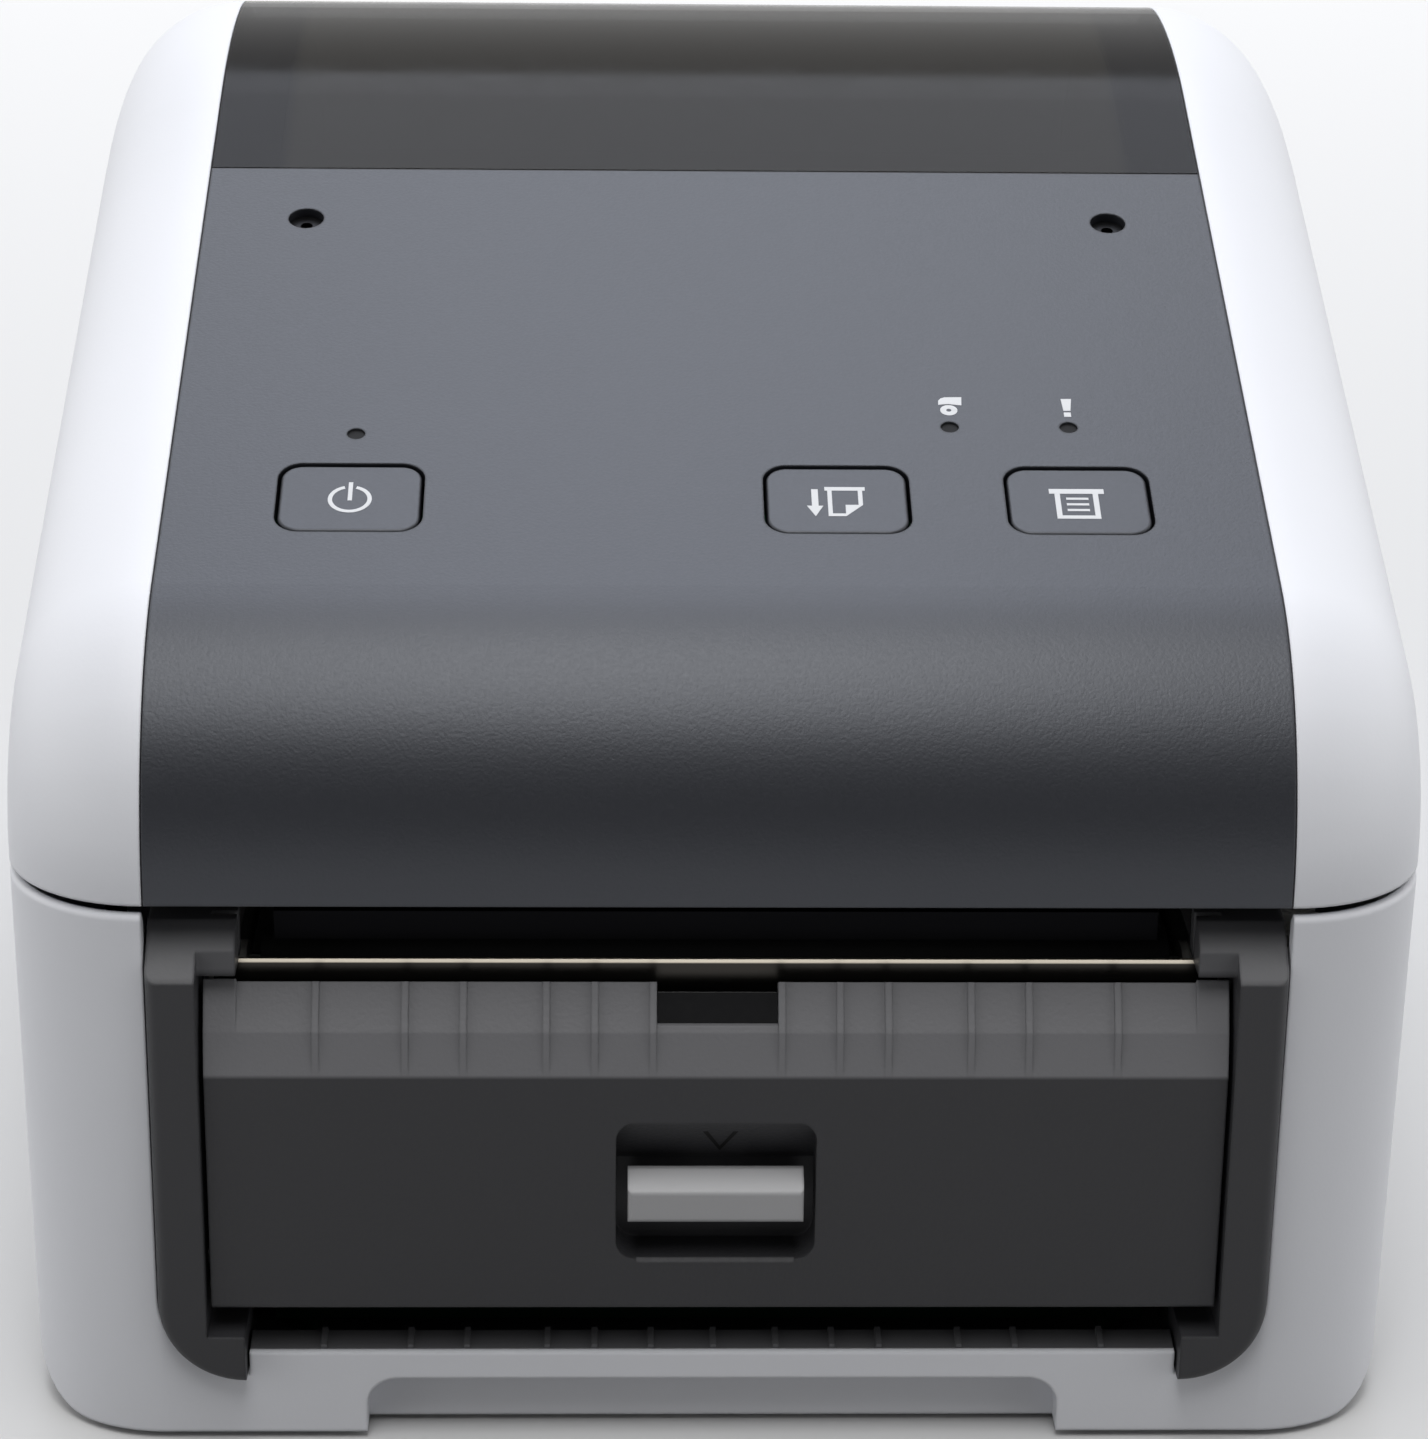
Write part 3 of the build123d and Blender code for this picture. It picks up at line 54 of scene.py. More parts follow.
def moulded_plastic(name, colour, roughness, grain, relief, edge, gloss=0.5):
    """Moulded plastic: its grain as bump, drifts of tone and gloss, soft edges, sized in millimetres."""
    material = bpy.data.materials.new(name)
    material.use_nodes = True
    nodes = material.node_tree.nodes
    links = material.node_tree.links
    shader = nodes["Principled BSDF"]
    shader.inputs["Specular IOR Level"].default_value = gloss
    place = nodes.new("ShaderNodeTexCoord")

    drift = nodes.new("ShaderNodeTexNoise")
    drift.inputs["Scale"].default_value = drift_scale
    drift.inputs["Detail"].default_value = drift_detail
    links.new(place.outputs["Object"], drift.inputs["Vector"])
    tones = nodes.new("ShaderNodeValToRGB")
    tones.color_ramp.elements[0].color = (*[part * (1 - drift_tone) for part in colour], 1)
    tones.color_ramp.elements[1].color = (*[part * (1 + drift_tone) for part in colour], 1)
    links.new(drift.outputs["Fac"], tones.inputs["Fac"])
    links.new(tones.outputs["Color"], shader.inputs["Base Color"])

    pores = nodes.new("ShaderNodeTexNoise")
    pores.inputs["Scale"].default_value = 1 / (grain * MM)
    pores.inputs["Detail"].default_value = pore_detail
    links.new(place.outputs["Object"], pores.inputs["Vector"])
    satin = nodes.new("ShaderNodeMapRange")
    satin.inputs["To Min"].default_value = roughness - satin_drift
    satin.inputs["To Max"].default_value = roughness + satin_drift
    links.new(pores.outputs["Fac"], satin.inputs["Value"])
    links.new(satin.outputs["Result"], shader.inputs["Roughness"])

    rounding = nodes.new("ShaderNodeBevel")
    rounding.samples = edge_samples
    rounding.inputs["Radius"].default_value = edge * MM
    bump = nodes.new("ShaderNodeBump")
    bump.inputs["Strength"].default_value = 1.0
    bump.inputs["Distance"].default_value = relief * MM
    links.new(pores.outputs["Fac"], bump.inputs["Height"])
    links.new(rounding.outputs["Normal"], bump.inputs["Normal"])
    links.new(bump.outputs["Normal"], shader.inputs["Normal"])
    return material


def dress(material, *nodes):
    """Gives CAD nodes their finish."""
    for node in nodes:
        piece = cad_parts[node]
        if not piece.material_slots:
            piece.data.materials.append(material)
        for place in piece.material_slots:
            place.material = material


white_shell = moulded_plastic("white_shell", shell_white, roughness=0.42,
                              grain=0.55, relief=0.012, edge=0.6)
dress(white_shell, "base_shell", "cover_side_left", "cover_side_right")

# Bottom plate, rubber feet and screws
# A black plate closes the tub from below. Four round rubber feet are glued to it,
# and four zinc-plated cross-head screws go up through it into the roll tray.
inner_black = (0.040, 0.040, 0.043)
rubber_black = (0.022, 0.022, 0.023)
steel_grey = (0.60, 0.59, 0.57)
# Near-black painted shade for the screws' cross recesses.
recess_shade_black = (0.006, 0.006, 0.006)
rolled_along = (0.05, 1, 1)
no_streaks = (1, 1, 1)
streak_scale = 1500.0
streak_detail = 4.0
streak_shade = 0.85
streak_gloss = 0.07
inner_plastic = moulded_plastic("inner_plastic", inner_black, roughness=0.5,
                                grain=0.7, relief=0.02, edge=0.3)
soft_rubber = moulded_plastic("soft_rubber", rubber_black, roughness=0.72,
                              grain=0.4, relief=0.02, edge=0.25, gloss=0.3)


def plain_metal(name, colour, roughness, stretch, edge):
    """Rolled or turned metal: fine streaks along one axis, and edges rounded by some millimetres."""
    material = bpy.data.materials.new(name)
    material.use_nodes = True
    nodes = material.node_tree.nodes
    links = material.node_tree.links
    shader = nodes["Principled BSDF"]
    shader.inputs["Metallic"].default_value = 1.0
    place = nodes.new("ShaderNodeTexCoord")
    draw = nodes.new("ShaderNodeMapping")
    draw.inputs["Scale"].default_value = stretch
    links.new(place.outputs["Object"], draw.inputs["Vector"])
    streaks = nodes.new("ShaderNodeTexNoise")
    streaks.inputs["Scale"].default_value = streak_scale
    streaks.inputs["Detail"].default_value = streak_detail
    links.new(draw.outputs["Vector"], streaks.inputs["Vector"])
    tones = nodes.new("ShaderNodeValToRGB")
    tones.color_ramp.elements[0].color = (*[part * streak_shade for part in colour], 1)
    tones.color_ramp.elements[1].color = (*colour, 1)
    links.new(streaks.outputs["Fac"], tones.inputs["Fac"])
    links.new(tones.outputs["Color"], shader.inputs["Base Color"])
    sheen = nodes.new("ShaderNodeMapRange")
    sheen.inputs["To Min"].default_value = roughness - streak_gloss
    sheen.inputs["To Max"].default_value = roughness + streak_gloss
    links.new(streaks.outputs["Fac"], sheen.inputs["Value"])
    links.new(sheen.outputs["Result"], shader.inputs["Roughness"])
    rounding = nodes.new("ShaderNodeBevel")
    rounding.samples = edge_samples
    rounding.inputs["Radius"].default_value = edge * MM
    links.new(rounding.outputs["Normal"], shader.inputs["Normal"])
    return material


steel = plain_metal("steel", steel_grey, roughness=0.30, stretch=rolled_along, edge=0.12)
dress(inner_plastic, "bottom_plate")
dress(soft_rubber, "rubber_feet")
dress(steel, "bottom_screws")

screw_face_z = 1.4
screw_places = [(-69.5, 12), (69.5, 12), (-69.5, 64), (69.5, 64)]
slot_half = 1.9
slot_wall = 0.4
film_rise = 0.02
# Black for marks, and for the painted shade in the screws' cross recesses.
mark_and_shade_black = moulded_plastic("mark_and_shade_black", recess_shade_black, roughness=0.6,
                             grain=0.3, relief=0.002, edge=0.01, gloss=0.2)


def print_and_shade_film(name, body, outlines, lay, ground, rise, ink):
    """A film of print, painted shade or a small fitting: closed outlines on a plane, raised over it."""
    film = bmesh.new()
    for outline in outlines:
        low = [film.verts.new(lay(across, along, ground)) for across, along in outline]
        high = [film.verts.new(lay(across, along, ground + rise)) for across, along in outline]
        film.faces.new(high)
        film.faces.new(low[::-1])
        for index in range(len(outline)):
            after = (index + 1) % len(outline)
            film.faces.new((low[index], low[after], high[after], high[index]))
    bmesh.ops.recalc_face_normals(film, faces=film.faces)
    mesh = bpy.data.meshes.new(name)
    film.to_mesh(mesh)
    film.free()
    mesh.materials.append(ink)
    sign = bpy.data.objects.new(name, mesh)
    bpy.context.scene.collection.objects.link(sign)
    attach(sign, body)


def bar(left, low, right, high):
    """Outline of an upright rectangle."""
    return [(left, low), (right, low), (right, high), (left, high)]


def on_underside(across, along, rise):
    """A point of the screws' faces, which look down."""
    return Vector((across, along, screw_face_z - rise)) * MM


# The screws' cross recesses are drawn as black films on their faces: painted shade.
crosses = []
for across, along in screw_places:
    crosses.append(bar(across - slot_half, along - slot_wall, across + slot_half, along + slot_wall))
    crosses.append(bar(across - slot_wall, along + slot_wall, across + slot_wall, along + slot_half))
    crosses.append(bar(across - slot_wall, along - slot_half, across + slot_wall, along - slot_wall))
print_and_shade_film("screw_cross_shade", "base", crosses, on_underside, 0, film_rise, mark_and_shade_black)

# Side plates, gear train and platen
# Two pressed steel plates carry the platen, a ground rubber roller on a steel shaft.
# A stepper motor drives it through three acetal gears on the right-hand side.
gear_white = (0.72, 0.71, 0.67)
motor_grey = (0.52, 0.52, 0.53)
gear_resin = moulded_plastic("gear_resin", gear_white, roughness=0.38,
                             grain=0.9, relief=0.006, edge=0.12)
motor_case = plain_metal("motor_case", motor_grey, roughness=0.38, stretch=no_streaks, edge=0.5)
dress(steel, "chassis_plate_left", "chassis_plate_right", "platen_shaft", "gear_post")
dress(soft_rubber, "platen_rubber")
dress(gear_resin, "platen_gear", "idler_gear", "motor_pinion", "platen_bushes", "guide_pinion")
dress(motor_case, "stepper_motor")

# Roll tray and its guides
# A dark cradle takes the label roll. Two guides slide in it on racks that share one pinion,
# so that the roll always lies in the middle.
dress(inner_plastic, "roll_tray", "roll_guide_left", "roll_guide_right")

# Front frame, liner guide and tear bar
# The frame is a charcoal moulding whose arms stand proud of the white base; the arms' upper slopes are
# painted paler, as painted light from above.
# A steel bar tears labels: its near-black colour is a painted dark reflection, and a pale warm band
# along its upper edge is a painted highlight.
# A ribbed ledge, painted paler as painted light, leads the backing out.
charcoal = (0.028, 0.028, 0.031)
guide_painted_light = (0.085, 0.085, 0.090)
slope_painted_light = (0.088, 0.088, 0.094)
bar_painted_reflection = (0.055, 0.051, 0.046)
edge_painted_highlight = (0.86, 0.78, 0.64)
arm_slope_z = 66.4 * MM
highlight_band = 0.5 * MM
dark_frame = moulded_plastic("dark_frame", charcoal, roughness=0.50,
                             grain=0.45, relief=0.016, edge=0.4, gloss=0.45)
# The liner guide's paler grey is painted light on its upward shelf under the door.
guide_painted_light_skin = moulded_plastic("guide_painted_light_skin", guide_painted_light, roughness=0.50,
                             grain=0.45, relief=0.016, edge=0.3, gloss=0.45)
dress(dark_frame, "media_sensor")
dress(guide_painted_light_skin, "liner_guide")


def tone_beyond(material, axis, edge, fade, colour):
    """Changes a finish's colour beyond a place along one axis."""
    nodes = material.node_tree.nodes
    links = material.node_tree.links
    base = nodes["Principled BSDF"].inputs["Base Color"]
    place = nodes.new("ShaderNodeTexCoord")
    split = nodes.new("ShaderNodeSeparateXYZ")
    links.new(place.outputs["Object"], split.inputs["Vector"])
    step = nodes.new("ShaderNodeMapRange")
    step.inputs["From Min"].default_value = edge - fade
    step.inputs["From Max"].default_value = edge + fade
    links.new(split.outputs[axis], step.inputs["Value"])
    blend = nodes.new("ShaderNodeMixRGB")
    blend.inputs["Color2"].default_value = (*colour, 1)
    links.new(base.links[0].from_socket, blend.inputs["Color1"])
    links.new(step.outputs["Result"], blend.inputs["Fac"])
    links.new(blend.outputs["Color"], base)


frame_skin = moulded_plastic("frame_skin", charcoal, roughness=0.50,
                             grain=0.45, relief=0.016, edge=0.6, gloss=0.45)
# Above the arms' slope line the frame is painted a paler grey: painted light on the arms' upward slopes.
tone_beyond(frame_skin, "Z", edge=arm_slope_z, fade=0.4 * MM, colour=slope_painted_light)
dress(frame_skin, "front_frame")

bar_low, bar_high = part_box("tear_bar")
# The bar's near-black colour is a painted dark reflection, and the pale warm band along its top edge is
# a painted highlight.
bar_steel = plain_metal("bar_steel", bar_painted_reflection, roughness=0.30, stretch=rolled_along, edge=0.1)
tone_beyond(bar_steel, "Z", edge=bar_high[2] - highlight_band, fade=0.1 * MM, colour=edge_painted_highlight)
dress(bar_steel, "tear_bar")

# Peel door, lever and roller
# The door folds down on two pins. Its two upper facets, over which labels run, are sparked coarser;
# their paler grey is painted light, for they face more upwards. A light grey lever slides down in its
# pocket to let it go.
facet_painted_light = (0.175, 0.175, 0.184)
lever_grey = (0.40, 0.40, 0.41)
lens_black = (0.010, 0.010, 0.011)
facet_low_z = 52.8 * MM
door_skin = moulded_plastic("door_skin", charcoal, roughness=0.52,
                            grain=0.6, relief=0.06, edge=0.4, gloss=0.45)
# Above the facets' lower edge the door is painted a paler grey: painted light on the upward facets.
tone_beyond(door_skin, "Z", edge=facet_low_z, fade=0.3 * MM, colour=facet_painted_light)
grey_lever = moulded_plastic("grey_lever", lever_grey, roughness=0.40,
                             grain=0.5, relief=0.008, edge=0.5)
sensor_black = moulded_plastic("sensor_black", lens_black, roughness=0.20,
                               grain=0.8, relief=0.003, edge=0.15)
dress(door_skin, "peel_door")
dress(grey_lever, "door_lever")
dress(sensor_black, "label_sensor")
dress(soft_rubber, "peel_roller")

# Mark in the lever's pocket
# A black chevron on the pocket's sloping roof says which way the lever goes.
# The slope falls from the pocket's upper edge to its floor.
roof_edge = (-110.5, 46.4)
roof_floor = (-104.2, 38.6)
roof_length = math.dist(roof_edge, roof_floor)
roof_back = (roof_floor[0] - roof_edge[0]) / roof_length
roof_down = (roof_edge[1] - roof_floor[1]) / roof_length


def on_roof(across, along, rise):
    """A point of the pocket's roof, given in millimetres across it, down it and out from it."""
    return Vector((across, roof_edge[0] + along * roof_back - rise * roof_down,
                   roof_edge[1] - along * roof_down - rise * roof_back)) * MM


chevron = [[(-1.70, 2.4), (-1.05, 2.4), (0.55, 6.9), (0.55, 8.2)],
           [(2.80, 2.4), (0.55, 8.2), (0.55, 6.9), (2.15, 2.4)]]
print_and_shade_film("lever_chevron", "peel_door", chevron, on_roof, 0, film_rise, mark_and_shade_black)

# Circuit boards and sockets
# Green glass-fibre boards lie on the bottom plate and behind the key panel. The rear one
# carries the sockets, which reach through the tub's back wall.
board_green = (0.015, 0.10, 0.045)
board_painted_shade = (0.005, 0.022, 0.011)
chip_black = (0.020, 0.020, 0.021)
socket_painted_shade = (0.012, 0.012, 0.012)
rim_silver = (0.66, 0.66, 0.67)
jack_black = (0.018, 0.018, 0.019)
pressed_along = (1, 1, 0.2)
chip_low_z = 9.75 * MM
socket_rim_y = 110.9 * MM
circuit_board = moulded_plastic("circuit_board", board_green, roughness=0.36,
                                grain=1.2, relief=0.01, edge=0.1)
# The main board's green is darkened as painted shade, for it shows only through the dark opening under
# the door; its chips are black.
chip_board = moulded_plastic("chip_board", board_painted_shade, roughness=0.36,
                             grain=1.2, relief=0.01, edge=0.1)
tone_beyond(chip_board, "Z", edge=chip_low_z, fade=0.02 * MM, colour=chip_black)
# The socket shells are near-black inside as painted shade; their rims at the back face keep the metal's
# silver.
socket_metal = plain_metal("socket_metal", socket_painted_shade, roughness=0.28, stretch=pressed_along, edge=0.15)
tone_beyond(socket_metal, "Y", edge=socket_rim_y, fade=0.05 * MM, colour=rim_silver)
socket_black = moulded_plastic("socket_black", jack_black, roughness=0.42,
                               grain=0.6, relief=0.008, edge=0.2)
dress(circuit_board, "rear_board", "panel_board")
dress(chip_board, "main_board")
dress(socket_metal, "usb_port", "network_port", "serial_port")
dress(socket_black, "dc_jack", "tact_switches")

# Contacts in the sockets
# Nine gilt sleeves end in the serial socket's insert and eight gilt springs lie in the network
# socket. The power socket holds a split pin in its middle, and the square one a plastic tongue.
gilt = (0.83, 0.62, 0.28)
drawn_along = (1, 0.1, 1)
serial_middle = (-18.0, 15.85)
serial_pitch = 2.77
serial_row = 0.95
serial_face_y = 110.0
sleeve_bore = 0.28
sleeve_rim = 0.60
sleeve_rise = 0.1
nearly_round = 358
network_middle = 46.0
network_floor_z = 10.6
spring_count = 8
spring_pitch = 1.02
spring_half = 0.25
spring_reach = (101.0, 109.5)
spring_rise = 0.15
pin_middle = (-52.0, 15.1)
pin_bore = 0.25
pin_rim = 1.0
pin_split = 8
pin_reach = (104.0, 110.3)
tongue_low = (17.1, 13.5)
tongue_high = (22.9, 16.7)
tongue_reach = (103.0, 110.0)
contact_gold = plain_metal("contact_gold", gilt, roughness=0.25, stretch=drawn_along, edge=0.03)


def ring(across, along, inner, outer, start, sweep, steps=40):
    """Outline of a round band, open by the part of the turn that the sweep leaves."""
    turns = [math.radians(start + sweep * step / steps) for step in range(steps + 1)]
    rim = [(across + outer * math.cos(turn), along + outer * math.sin(turn)) for turn in turns]
    hole = [(across + inner * math.cos(turn), along + inner * math.sin(turn)) for turn in turns[::-1]]
    return rim + hole


def on_back(across, along, rise):
    """A point given as it is seen from the back: across, upwards and by its depth."""
    return Vector((across, rise, along)) * MM


def on_network_floor(across, along, rise):
    """A point of the network socket's lower side."""
    return Vector((across, along, network_floor_z + rise)) * MM


sleeves = []
for row, count in ((serial_row, 5), (-serial_row, 4)):
    for index in range(count):
        across = serial_middle[0] + (index - (count - 1) / 2) * serial_pitch
        sleeves.append(ring(across, serial_middle[1] + row, sleeve_bore, sleeve_rim, 0, nearly_round))
springs = []
for index in range(spring_count):
    across = network_middle + (index - (spring_count - 1) / 2) * spring_pitch
    springs.append(bar(across - spring_half, spring_reach[0], across + spring_half, spring_reach[1]))
split_pin = [ring(*pin_middle, pin_bore, pin_rim, 0, 360 - pin_split)]
tongue = [bar(*tongue_low, *tongue_high)]
print_and_shade_film("serial_sleeves", "base", sleeves, on_back, serial_face_y, sleeve_rise, contact_gold)
print_and_shade_film("network_springs", "base", springs, on_network_floor, 0, spring_rise, contact_gold)
print_and_shade_film("power_pin", "base", split_pin, on_back, pin_reach[0],
             pin_reach[1] - pin_reach[0], steel)
print_and_shade_film("usb_tongue", "base", tongue, on_back, tongue_reach[0],
             tongue_reach[1] - tongue_reach[0], socket_black)

# Cover panel, rear panel and inner frame
# The panel and the rear panel are one charcoal grey, with a satin skin that takes a broad
# sheen from above. A black rim inside carries them, the cheeks and the window.
panel_colour = (0.013, 0.014, 0.018)
panel_gloss = 0.8
panel_sheen = (0.90, 0.93, 1.0)
burnt_black = (0.030, 0.030, 0.032)


def sheen_tint(material, colour):
    """Tints what a finish mirrors."""
    material.node_tree.nodes["Principled BSDF"].inputs["Specular Tint"].default_value = (*colour, 1)


dark_shell = moulded_plastic("dark_shell", panel_colour, roughness=0.42,
                             grain=0.45, relief=0.03, edge=0.4, gloss=panel_gloss)
sheen_tint(dark_shell, panel_sheen)
black_steel = plain_metal("black_steel", burnt_black, roughness=0.40, stretch=no_streaks, edge=0.15)
dress(dark_shell, "cover_panel", "cover_rear_panel")
dress(inner_plastic, "cover_frame", "head_bracket", "cover_catches", "hinge_brackets")
dress(black_steel, "panel_screws", "door_pins")
dress(steel, "hinge_pins", "catch_pins", "head_pin", "head_springs")

# Smoked window
# A brown-black polycarbonate sheet over the roll, clear enough to show how much is left.
# Its sides are darker, where it is glued to the inner frame.
smoke_brown = (0.021, 0.0195, 0.0172)
smoke_border = (0.010, 0.0095, 0.010)
smoke_density = 0.85
border_inner = 60.6 * MM
border_fade = 0.8 * MM
smoked_window = moulded_plastic("smoked_window", smoke_brown, roughness=0.13,
                                grain=4.0, relief=0.004, edge=0.2, gloss=0.09)
tone_beyond(smoked_window, "X", edge=border_inner, fade=border_fade, colour=smoke_border)
tone_beyond(smoked_window, "X", edge=-border_inner, fade=-border_fade, colour=smoke_border)
smoked_window.node_tree.nodes["Principled BSDF"].inputs["Alpha"].default_value = smoke_density
dress(smoked_window, "roll_window")

# Print head
# A glazed ceramic strip is glued under a heat sink, whose near-black colour is painted shade of the gap
# above the tear bar.
# Two leaf springs in the cover press it on the platen.
ceramic_cream = (0.62, 0.58, 0.50)
sink_painted_shade = (0.008, 0.008, 0.009)
head_ceramic = moulded_plastic("head_ceramic", ceramic_cream, roughness=0.22,
                               grain=1.0, relief=0.002, edge=0.1)
# The heat sink's near-black colour is painted shade.
heat_sink = plain_metal("heat_sink", sink_painted_shade, roughness=0.55, stretch=rolled_along, edge=0.2)
dress(head_ceramic, "print_head")
dress(heat_sink, "heat_sink")

# Keys, lights and their signs
# Each key is a rubber-backed cap in the panel's opening, with its sign pad-printed in pale grey.
# Three tinted light pipes end just below the panel's surface, two of them with a sign above.
pipe_black = (0.016, 0.016, 0.017)
ink_grey = (0.66, 0.67, 0.69)
panel_slope = math.radians(19.741)
panel_rest_z = 140.99
cap_sink = 0.15
ink_rise = 0.03
power_gap = 34
key_cap = moulded_plastic("key_cap", panel_colour, roughness=0.42,
                          grain=0.5, relief=0.010, edge=0.3, gloss=panel_gloss)
sheen_tint(key_cap, panel_sheen)
light_pipe = moulded_plastic("light_pipe", pipe_black, roughness=0.50,
                             grain=1.0, relief=0.001, edge=0.1, gloss=0.1)
sign_ink = moulded_plastic("sign_ink", ink_grey, roughness=0.55,
                           grain=0.3, relief=0.002, edge=0.01)
dress(key_cap, "power_button", "feed_button", "print_button")
dress(light_pipe, "light_pipes")


def on_panel(across, along, rise):
    """A point of the panel's plane, given in millimetres across it, up it and over it."""
    return Vector((across, along * math.cos(panel_slope) - rise * math.sin(panel_slope),
                   panel_rest_z + along * math.sin(panel_slope) + rise * math.cos(panel_slope))) * MM


power_sign = [ring(-47.32, -74.3, 2.28, 2.84, 90 + power_gap / 2, 360 - power_gap),
              bar(-47.60, -74.6, -47.04, -70.75)]
feed_sign = [bar(12.40, -75.28, 13.26, -71.78),
             [(11.75, -75.28), (12.82, -77.48), (13.87, -75.28)],
             bar(14.13, -72.05, 19.38, -71.30),
             bar(14.48, -77.47, 15.05, -72.05),
             bar(15.05, -77.47, 16.75, -76.90),
             bar(18.45, -75.07, 19.02, -72.05),
             [(16.75, -77.47), (19.02, -75.07), (16.75, -75.07)]]
print_sign = [bar(43.37, -72.50, 50.52, -71.50),
              bar(44.05, -77.78, 44.75, -72.50),
              bar(49.02, -77.78, 49.73, -72.50),
              bar(44.75, -77.78, 49.02, -77.10),
              bar(45.50, -73.78, 48.40, -73.33),
              bar(45.50, -74.98, 48.40, -74.53),
              bar(45.50, -76.18, 48.40, -75.73)]
roll_sign = [[(30.05, -53.30), (30.10, -52.40), (30.45, -51.85), (31.00, -51.60), (33.25, -51.55),
              (33.15, -53.40), (32.40, -53.30), (31.45, -53.10), (30.60, -53.20)],
             ring(31.40, -54.50, 0.34, 1.15, 0, nearly_round)]
alert_sign = [[(46.72, -54.50), (47.66, -54.50), (47.96, -51.83), (46.56, -51.85)],
              bar(46.72, -55.85, 47.66, -54.88)]

for name, body, outlines, ground in (("power_sign", "power_button", power_sign, -cap_sink),
                                     ("feed_sign", "feed_button", feed_sign, -cap_sink),
                                     ("print_sign", "print_button", print_sign, -cap_sink),
                                     ("roll_sign", "cover", roll_sign, 0),
                                     ("alert_sign", "cover", alert_sign, 0)):
    print_and_shade_film(name, body, outlines, on_panel, ground, ink_rise, sign_ink)

# Floor
# A wide matt sheet under the object, pale grey where its shadow falls.
# It pales to white away from the object, and throws little of its light back.
floor_grey = 0.66
floor_bounce = 0.20
floor_roughness = 0.9
floor_size = 40.0
floor_glow = 0.5
glow_span = (0.15, 1.4)
front_rest = 1.3
ray_span = (0.0, 1.0)
floor_mesh = bpy.data.meshes.new("floor")
floor_mesh.from_pydata([(-floor_size, -floor_size, 0), (floor_size, -floor_size, 0),
                        (floor_size, floor_size, 0), (-floor_size, floor_size, 0)], [], [(0, 1, 2, 3)])
floor = bpy.data.objects.new("floor", floor_mesh)
bpy.context.scene.collection.objects.link(floor)


def feed(tree, socket, value):
    """Sets a socket to a number, or links another node's result to it."""
    if isinstance(value, bpy.types.NodeSocket):
        tree.links.new(value, socket)
    else:
        socket.default_value = value


def reckon(tree, operation, *values):
    """Adds a calculation to a node tree and gives its result."""
    node = tree.nodes.new("ShaderNodeMath")
    node.operation = operation
    for socket, value in zip(node.inputs, values):
        feed(tree, socket, value)
    return node.outputs["Value"]


def ramp(tree, value, span, low, high):
    """Goes from low to high while a value runs over its span."""
    node = tree.nodes.new("ShaderNodeMapRange")
    for socket, setting in (("Value", value), ("From Min", span[0]), ("From Max", span[1]),
                            ("To Min", low), ("To Max", high)):
        feed(tree, node.inputs[socket], setting)
    return node.outputs["Result"]


floor_paint = bpy.data.materials.new("floor_paint")
floor_paint.use_nodes = True
floor_tree = floor_paint.node_tree
floor_shader = floor_tree.nodes["Principled BSDF"]
floor_shader.inputs["Roughness"].default_value = floor_roughness
floor_shader.inputs["Emission Color"].default_value = (1, 1, 1, 1)
bounced = floor_tree.nodes.new("ShaderNodeLightPath").outputs["Is Diffuse Ray"]
feed(floor_tree, floor_shader.inputs["Base Color"],
     ramp(floor_tree, bounced, ray_span, floor_grey, floor_bounce))
floor_parts = floor_tree.nodes.new("ShaderNodeSeparateXYZ")
feed(floor_tree, floor_parts.inputs["Vector"],
     floor_tree.nodes.new("ShaderNodeTexCoord").outputs["Object"])
aside = reckon(floor_tree, "ABSOLUTE", floor_parts.outputs["X"])
aside_or_behind = reckon(floor_tree, "MAXIMUM", aside, floor_parts.outputs["Y"])
in_front = reckon(floor_tree, "SUBTRACT", -front_rest, floor_parts.outputs["Y"])
away = reckon(floor_tree, "MAXIMUM", aside_or_behind, in_front)
far_glow = ramp(floor_tree, away, glow_span, 0.0, floor_glow)
feed(floor_tree, floor_shader.inputs["Emission Strength"],
     ramp(floor_tree, bounced, ray_span, far_glow, 0.0))
floor_paint.cycles.emission_sampling = "NONE"
floor_mesh.materials.append(floor_paint)

# Surroundings and lights
# The surroundings are dim in front of the object and pale behind it and at its sides.
# One large soft light hangs over the front and a cooler one behind.
front_level = 0.10
back_level = 0.85
back_span = (-0.8, 0.9)
side_level = 1.0
side_span = (0.55, 0.95)
light_aim = Vector((0, 0, 0.09))
world = bpy.data.worlds.new("studio")
bpy.context.scene.world = world
world.use_nodes = True
world_tree = world.node_tree
surroundings = world_tree.nodes["Background"]
surroundings.inputs["Color"].default_value = (1, 1, 1, 1)
outlook = world_tree.nodes.new("ShaderNodeSeparateXYZ")
feed(world_tree, outlook.inputs["Vector"],
     world_tree.nodes.new("ShaderNodeTexCoord").outputs["Generated"])
back_glow = ramp(world_tree, outlook.outputs["Y"], back_span, front_level, back_level)
sideways = reckon(world_tree, "ABSOLUTE", outlook.outputs["X"])
side_glow = ramp(world_tree, sideways, side_span, 0.0, side_level)
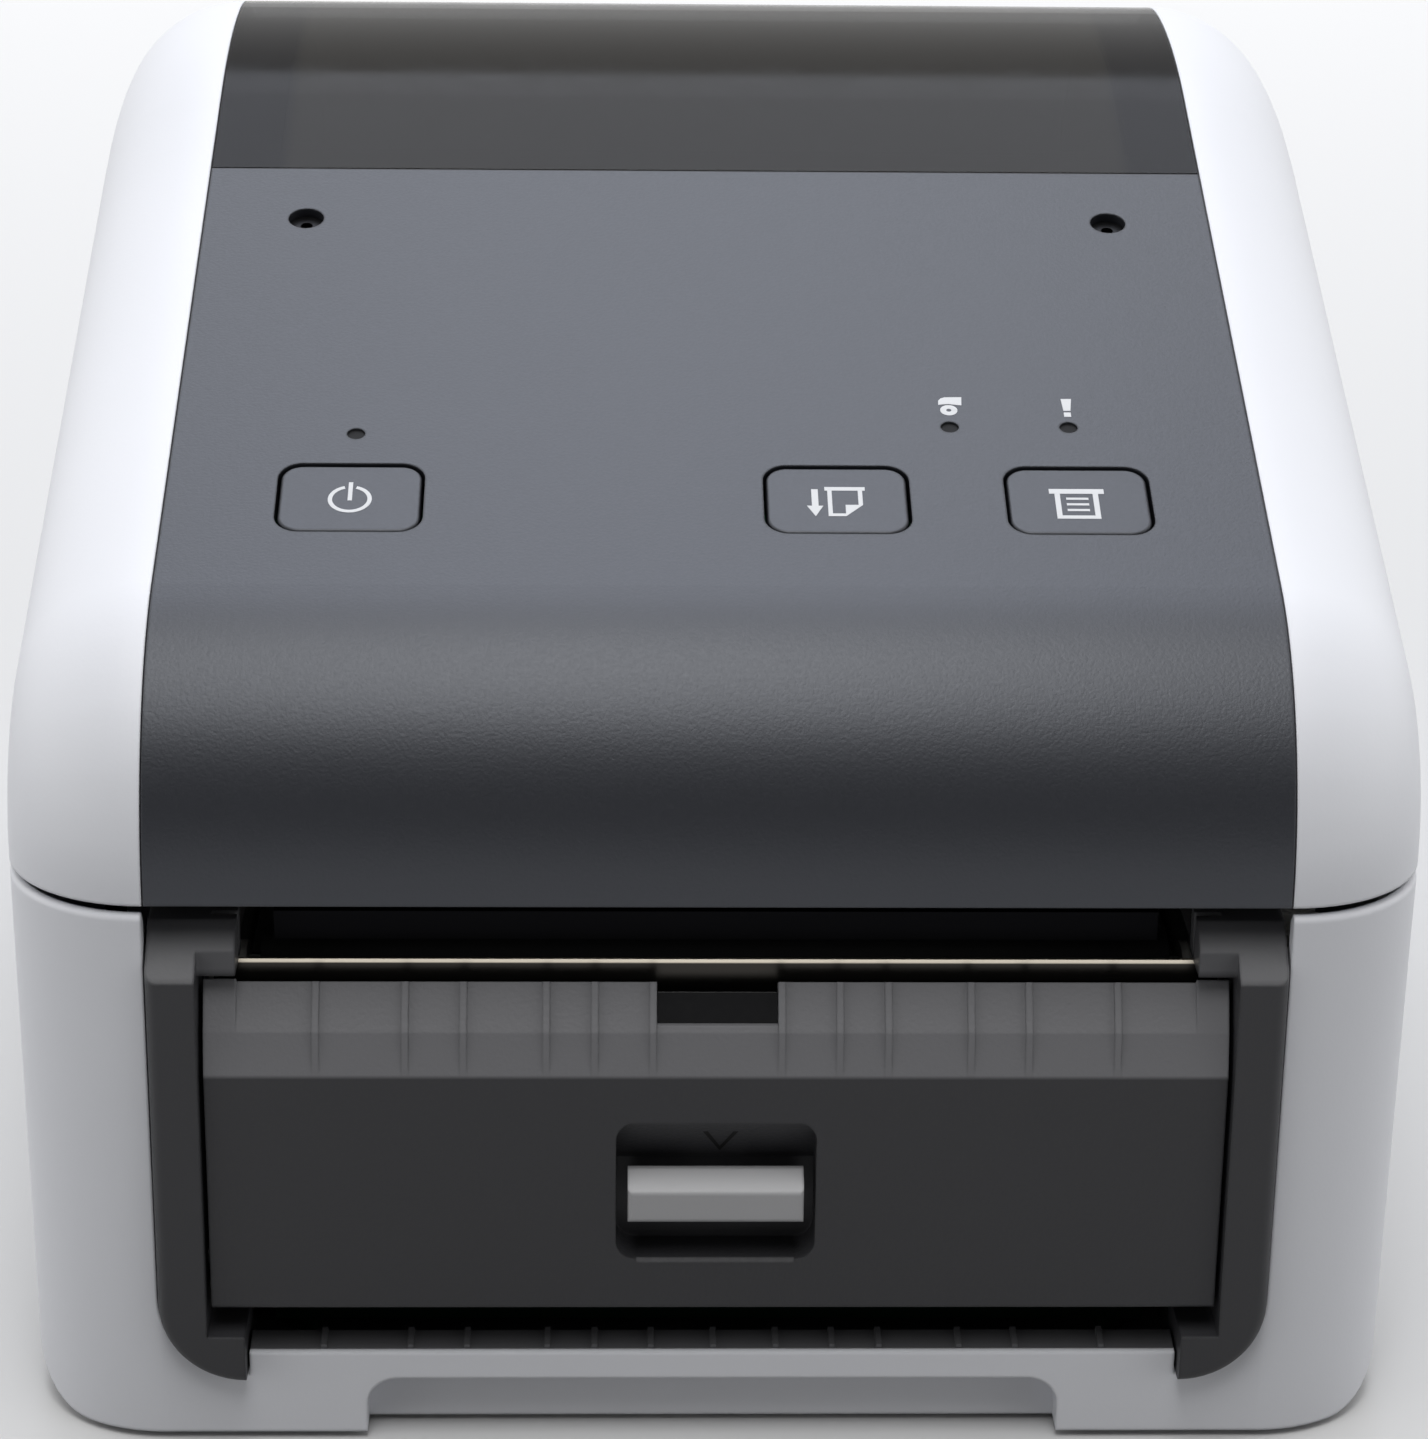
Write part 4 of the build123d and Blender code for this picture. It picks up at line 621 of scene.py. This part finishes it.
feed(world_tree, surroundings.inputs["Strength"], reckon(world_tree, "ADD", back_glow, side_glow))


def softbox(name, place, size, radiance, colour):
    """A square soft light that faces the object, with an even brightness over its face."""
    lamp = bpy.data.lights.new(name, "AREA")
    lamp.shape = "RECTANGLE"
    lamp.size, lamp.size_y = size
    lamp.energy = radiance * math.pi * size[0] * size[1]
    lamp.color = colour
    holder = bpy.data.objects.new(name, lamp)
    bpy.context.scene.collection.objects.link(holder)
    holder.location = place
    holder.rotation_euler = (light_aim - Vector(place)).to_track_quat("-Z", "Y").to_euler()


softbox("overhead_light", place=(-0.03, -0.50, 1.42), size=(0.56, 1.15), radiance=5.3,
        colour=(1.0, 1.0, 1.0))
softbox("rear_light", place=(0.0, 0.70, 1.4), size=(0.85, 0.90), radiance=2.45,
        colour=(0.92, 0.97, 1.10))

# Camera
# It looks down on the object's front from a little to the left.
# Its place and its lens are solved from the photo's converging edges.
image_width, image_height = 1428, 1439
focal_pixels = 4000.0
camera_place = Vector((-13.26, -563.5, 274.1)) * MM
camera_pitch = math.radians(20.91)
camera_yaw = math.radians(-1.55)
camera_roll = math.radians(-0.73)
ahead = Vector((-math.sin(camera_yaw) * math.cos(camera_pitch),
                math.cos(camera_yaw) * math.cos(camera_pitch),
                -math.sin(camera_pitch)))
level_right = Vector((math.cos(camera_yaw), math.sin(camera_yaw), 0))
level_down = ahead.cross(level_right)
right = level_right * math.cos(camera_roll) + level_down * math.sin(camera_roll)
down = level_down * math.cos(camera_roll) - level_right * math.sin(camera_roll)
camera_data = bpy.data.cameras.new("camera")
camera = bpy.data.objects.new("camera", camera_data)
bpy.context.scene.collection.objects.link(camera)
camera_data.sensor_width = 36.0
camera_data.lens = camera_data.sensor_width * focal_pixels / max(image_width, image_height)
camera_data.clip_start = 0.01
camera.matrix_world = Matrix(((right.x, -down.x, -ahead.x, camera_place.x),
                              (right.y, -down.y, -ahead.y, camera_place.y),
                              (right.z, -down.z, -ahead.z, camera_place.z),
                              (0, 0, 0, 1)))
bpy.context.scene.camera = camera
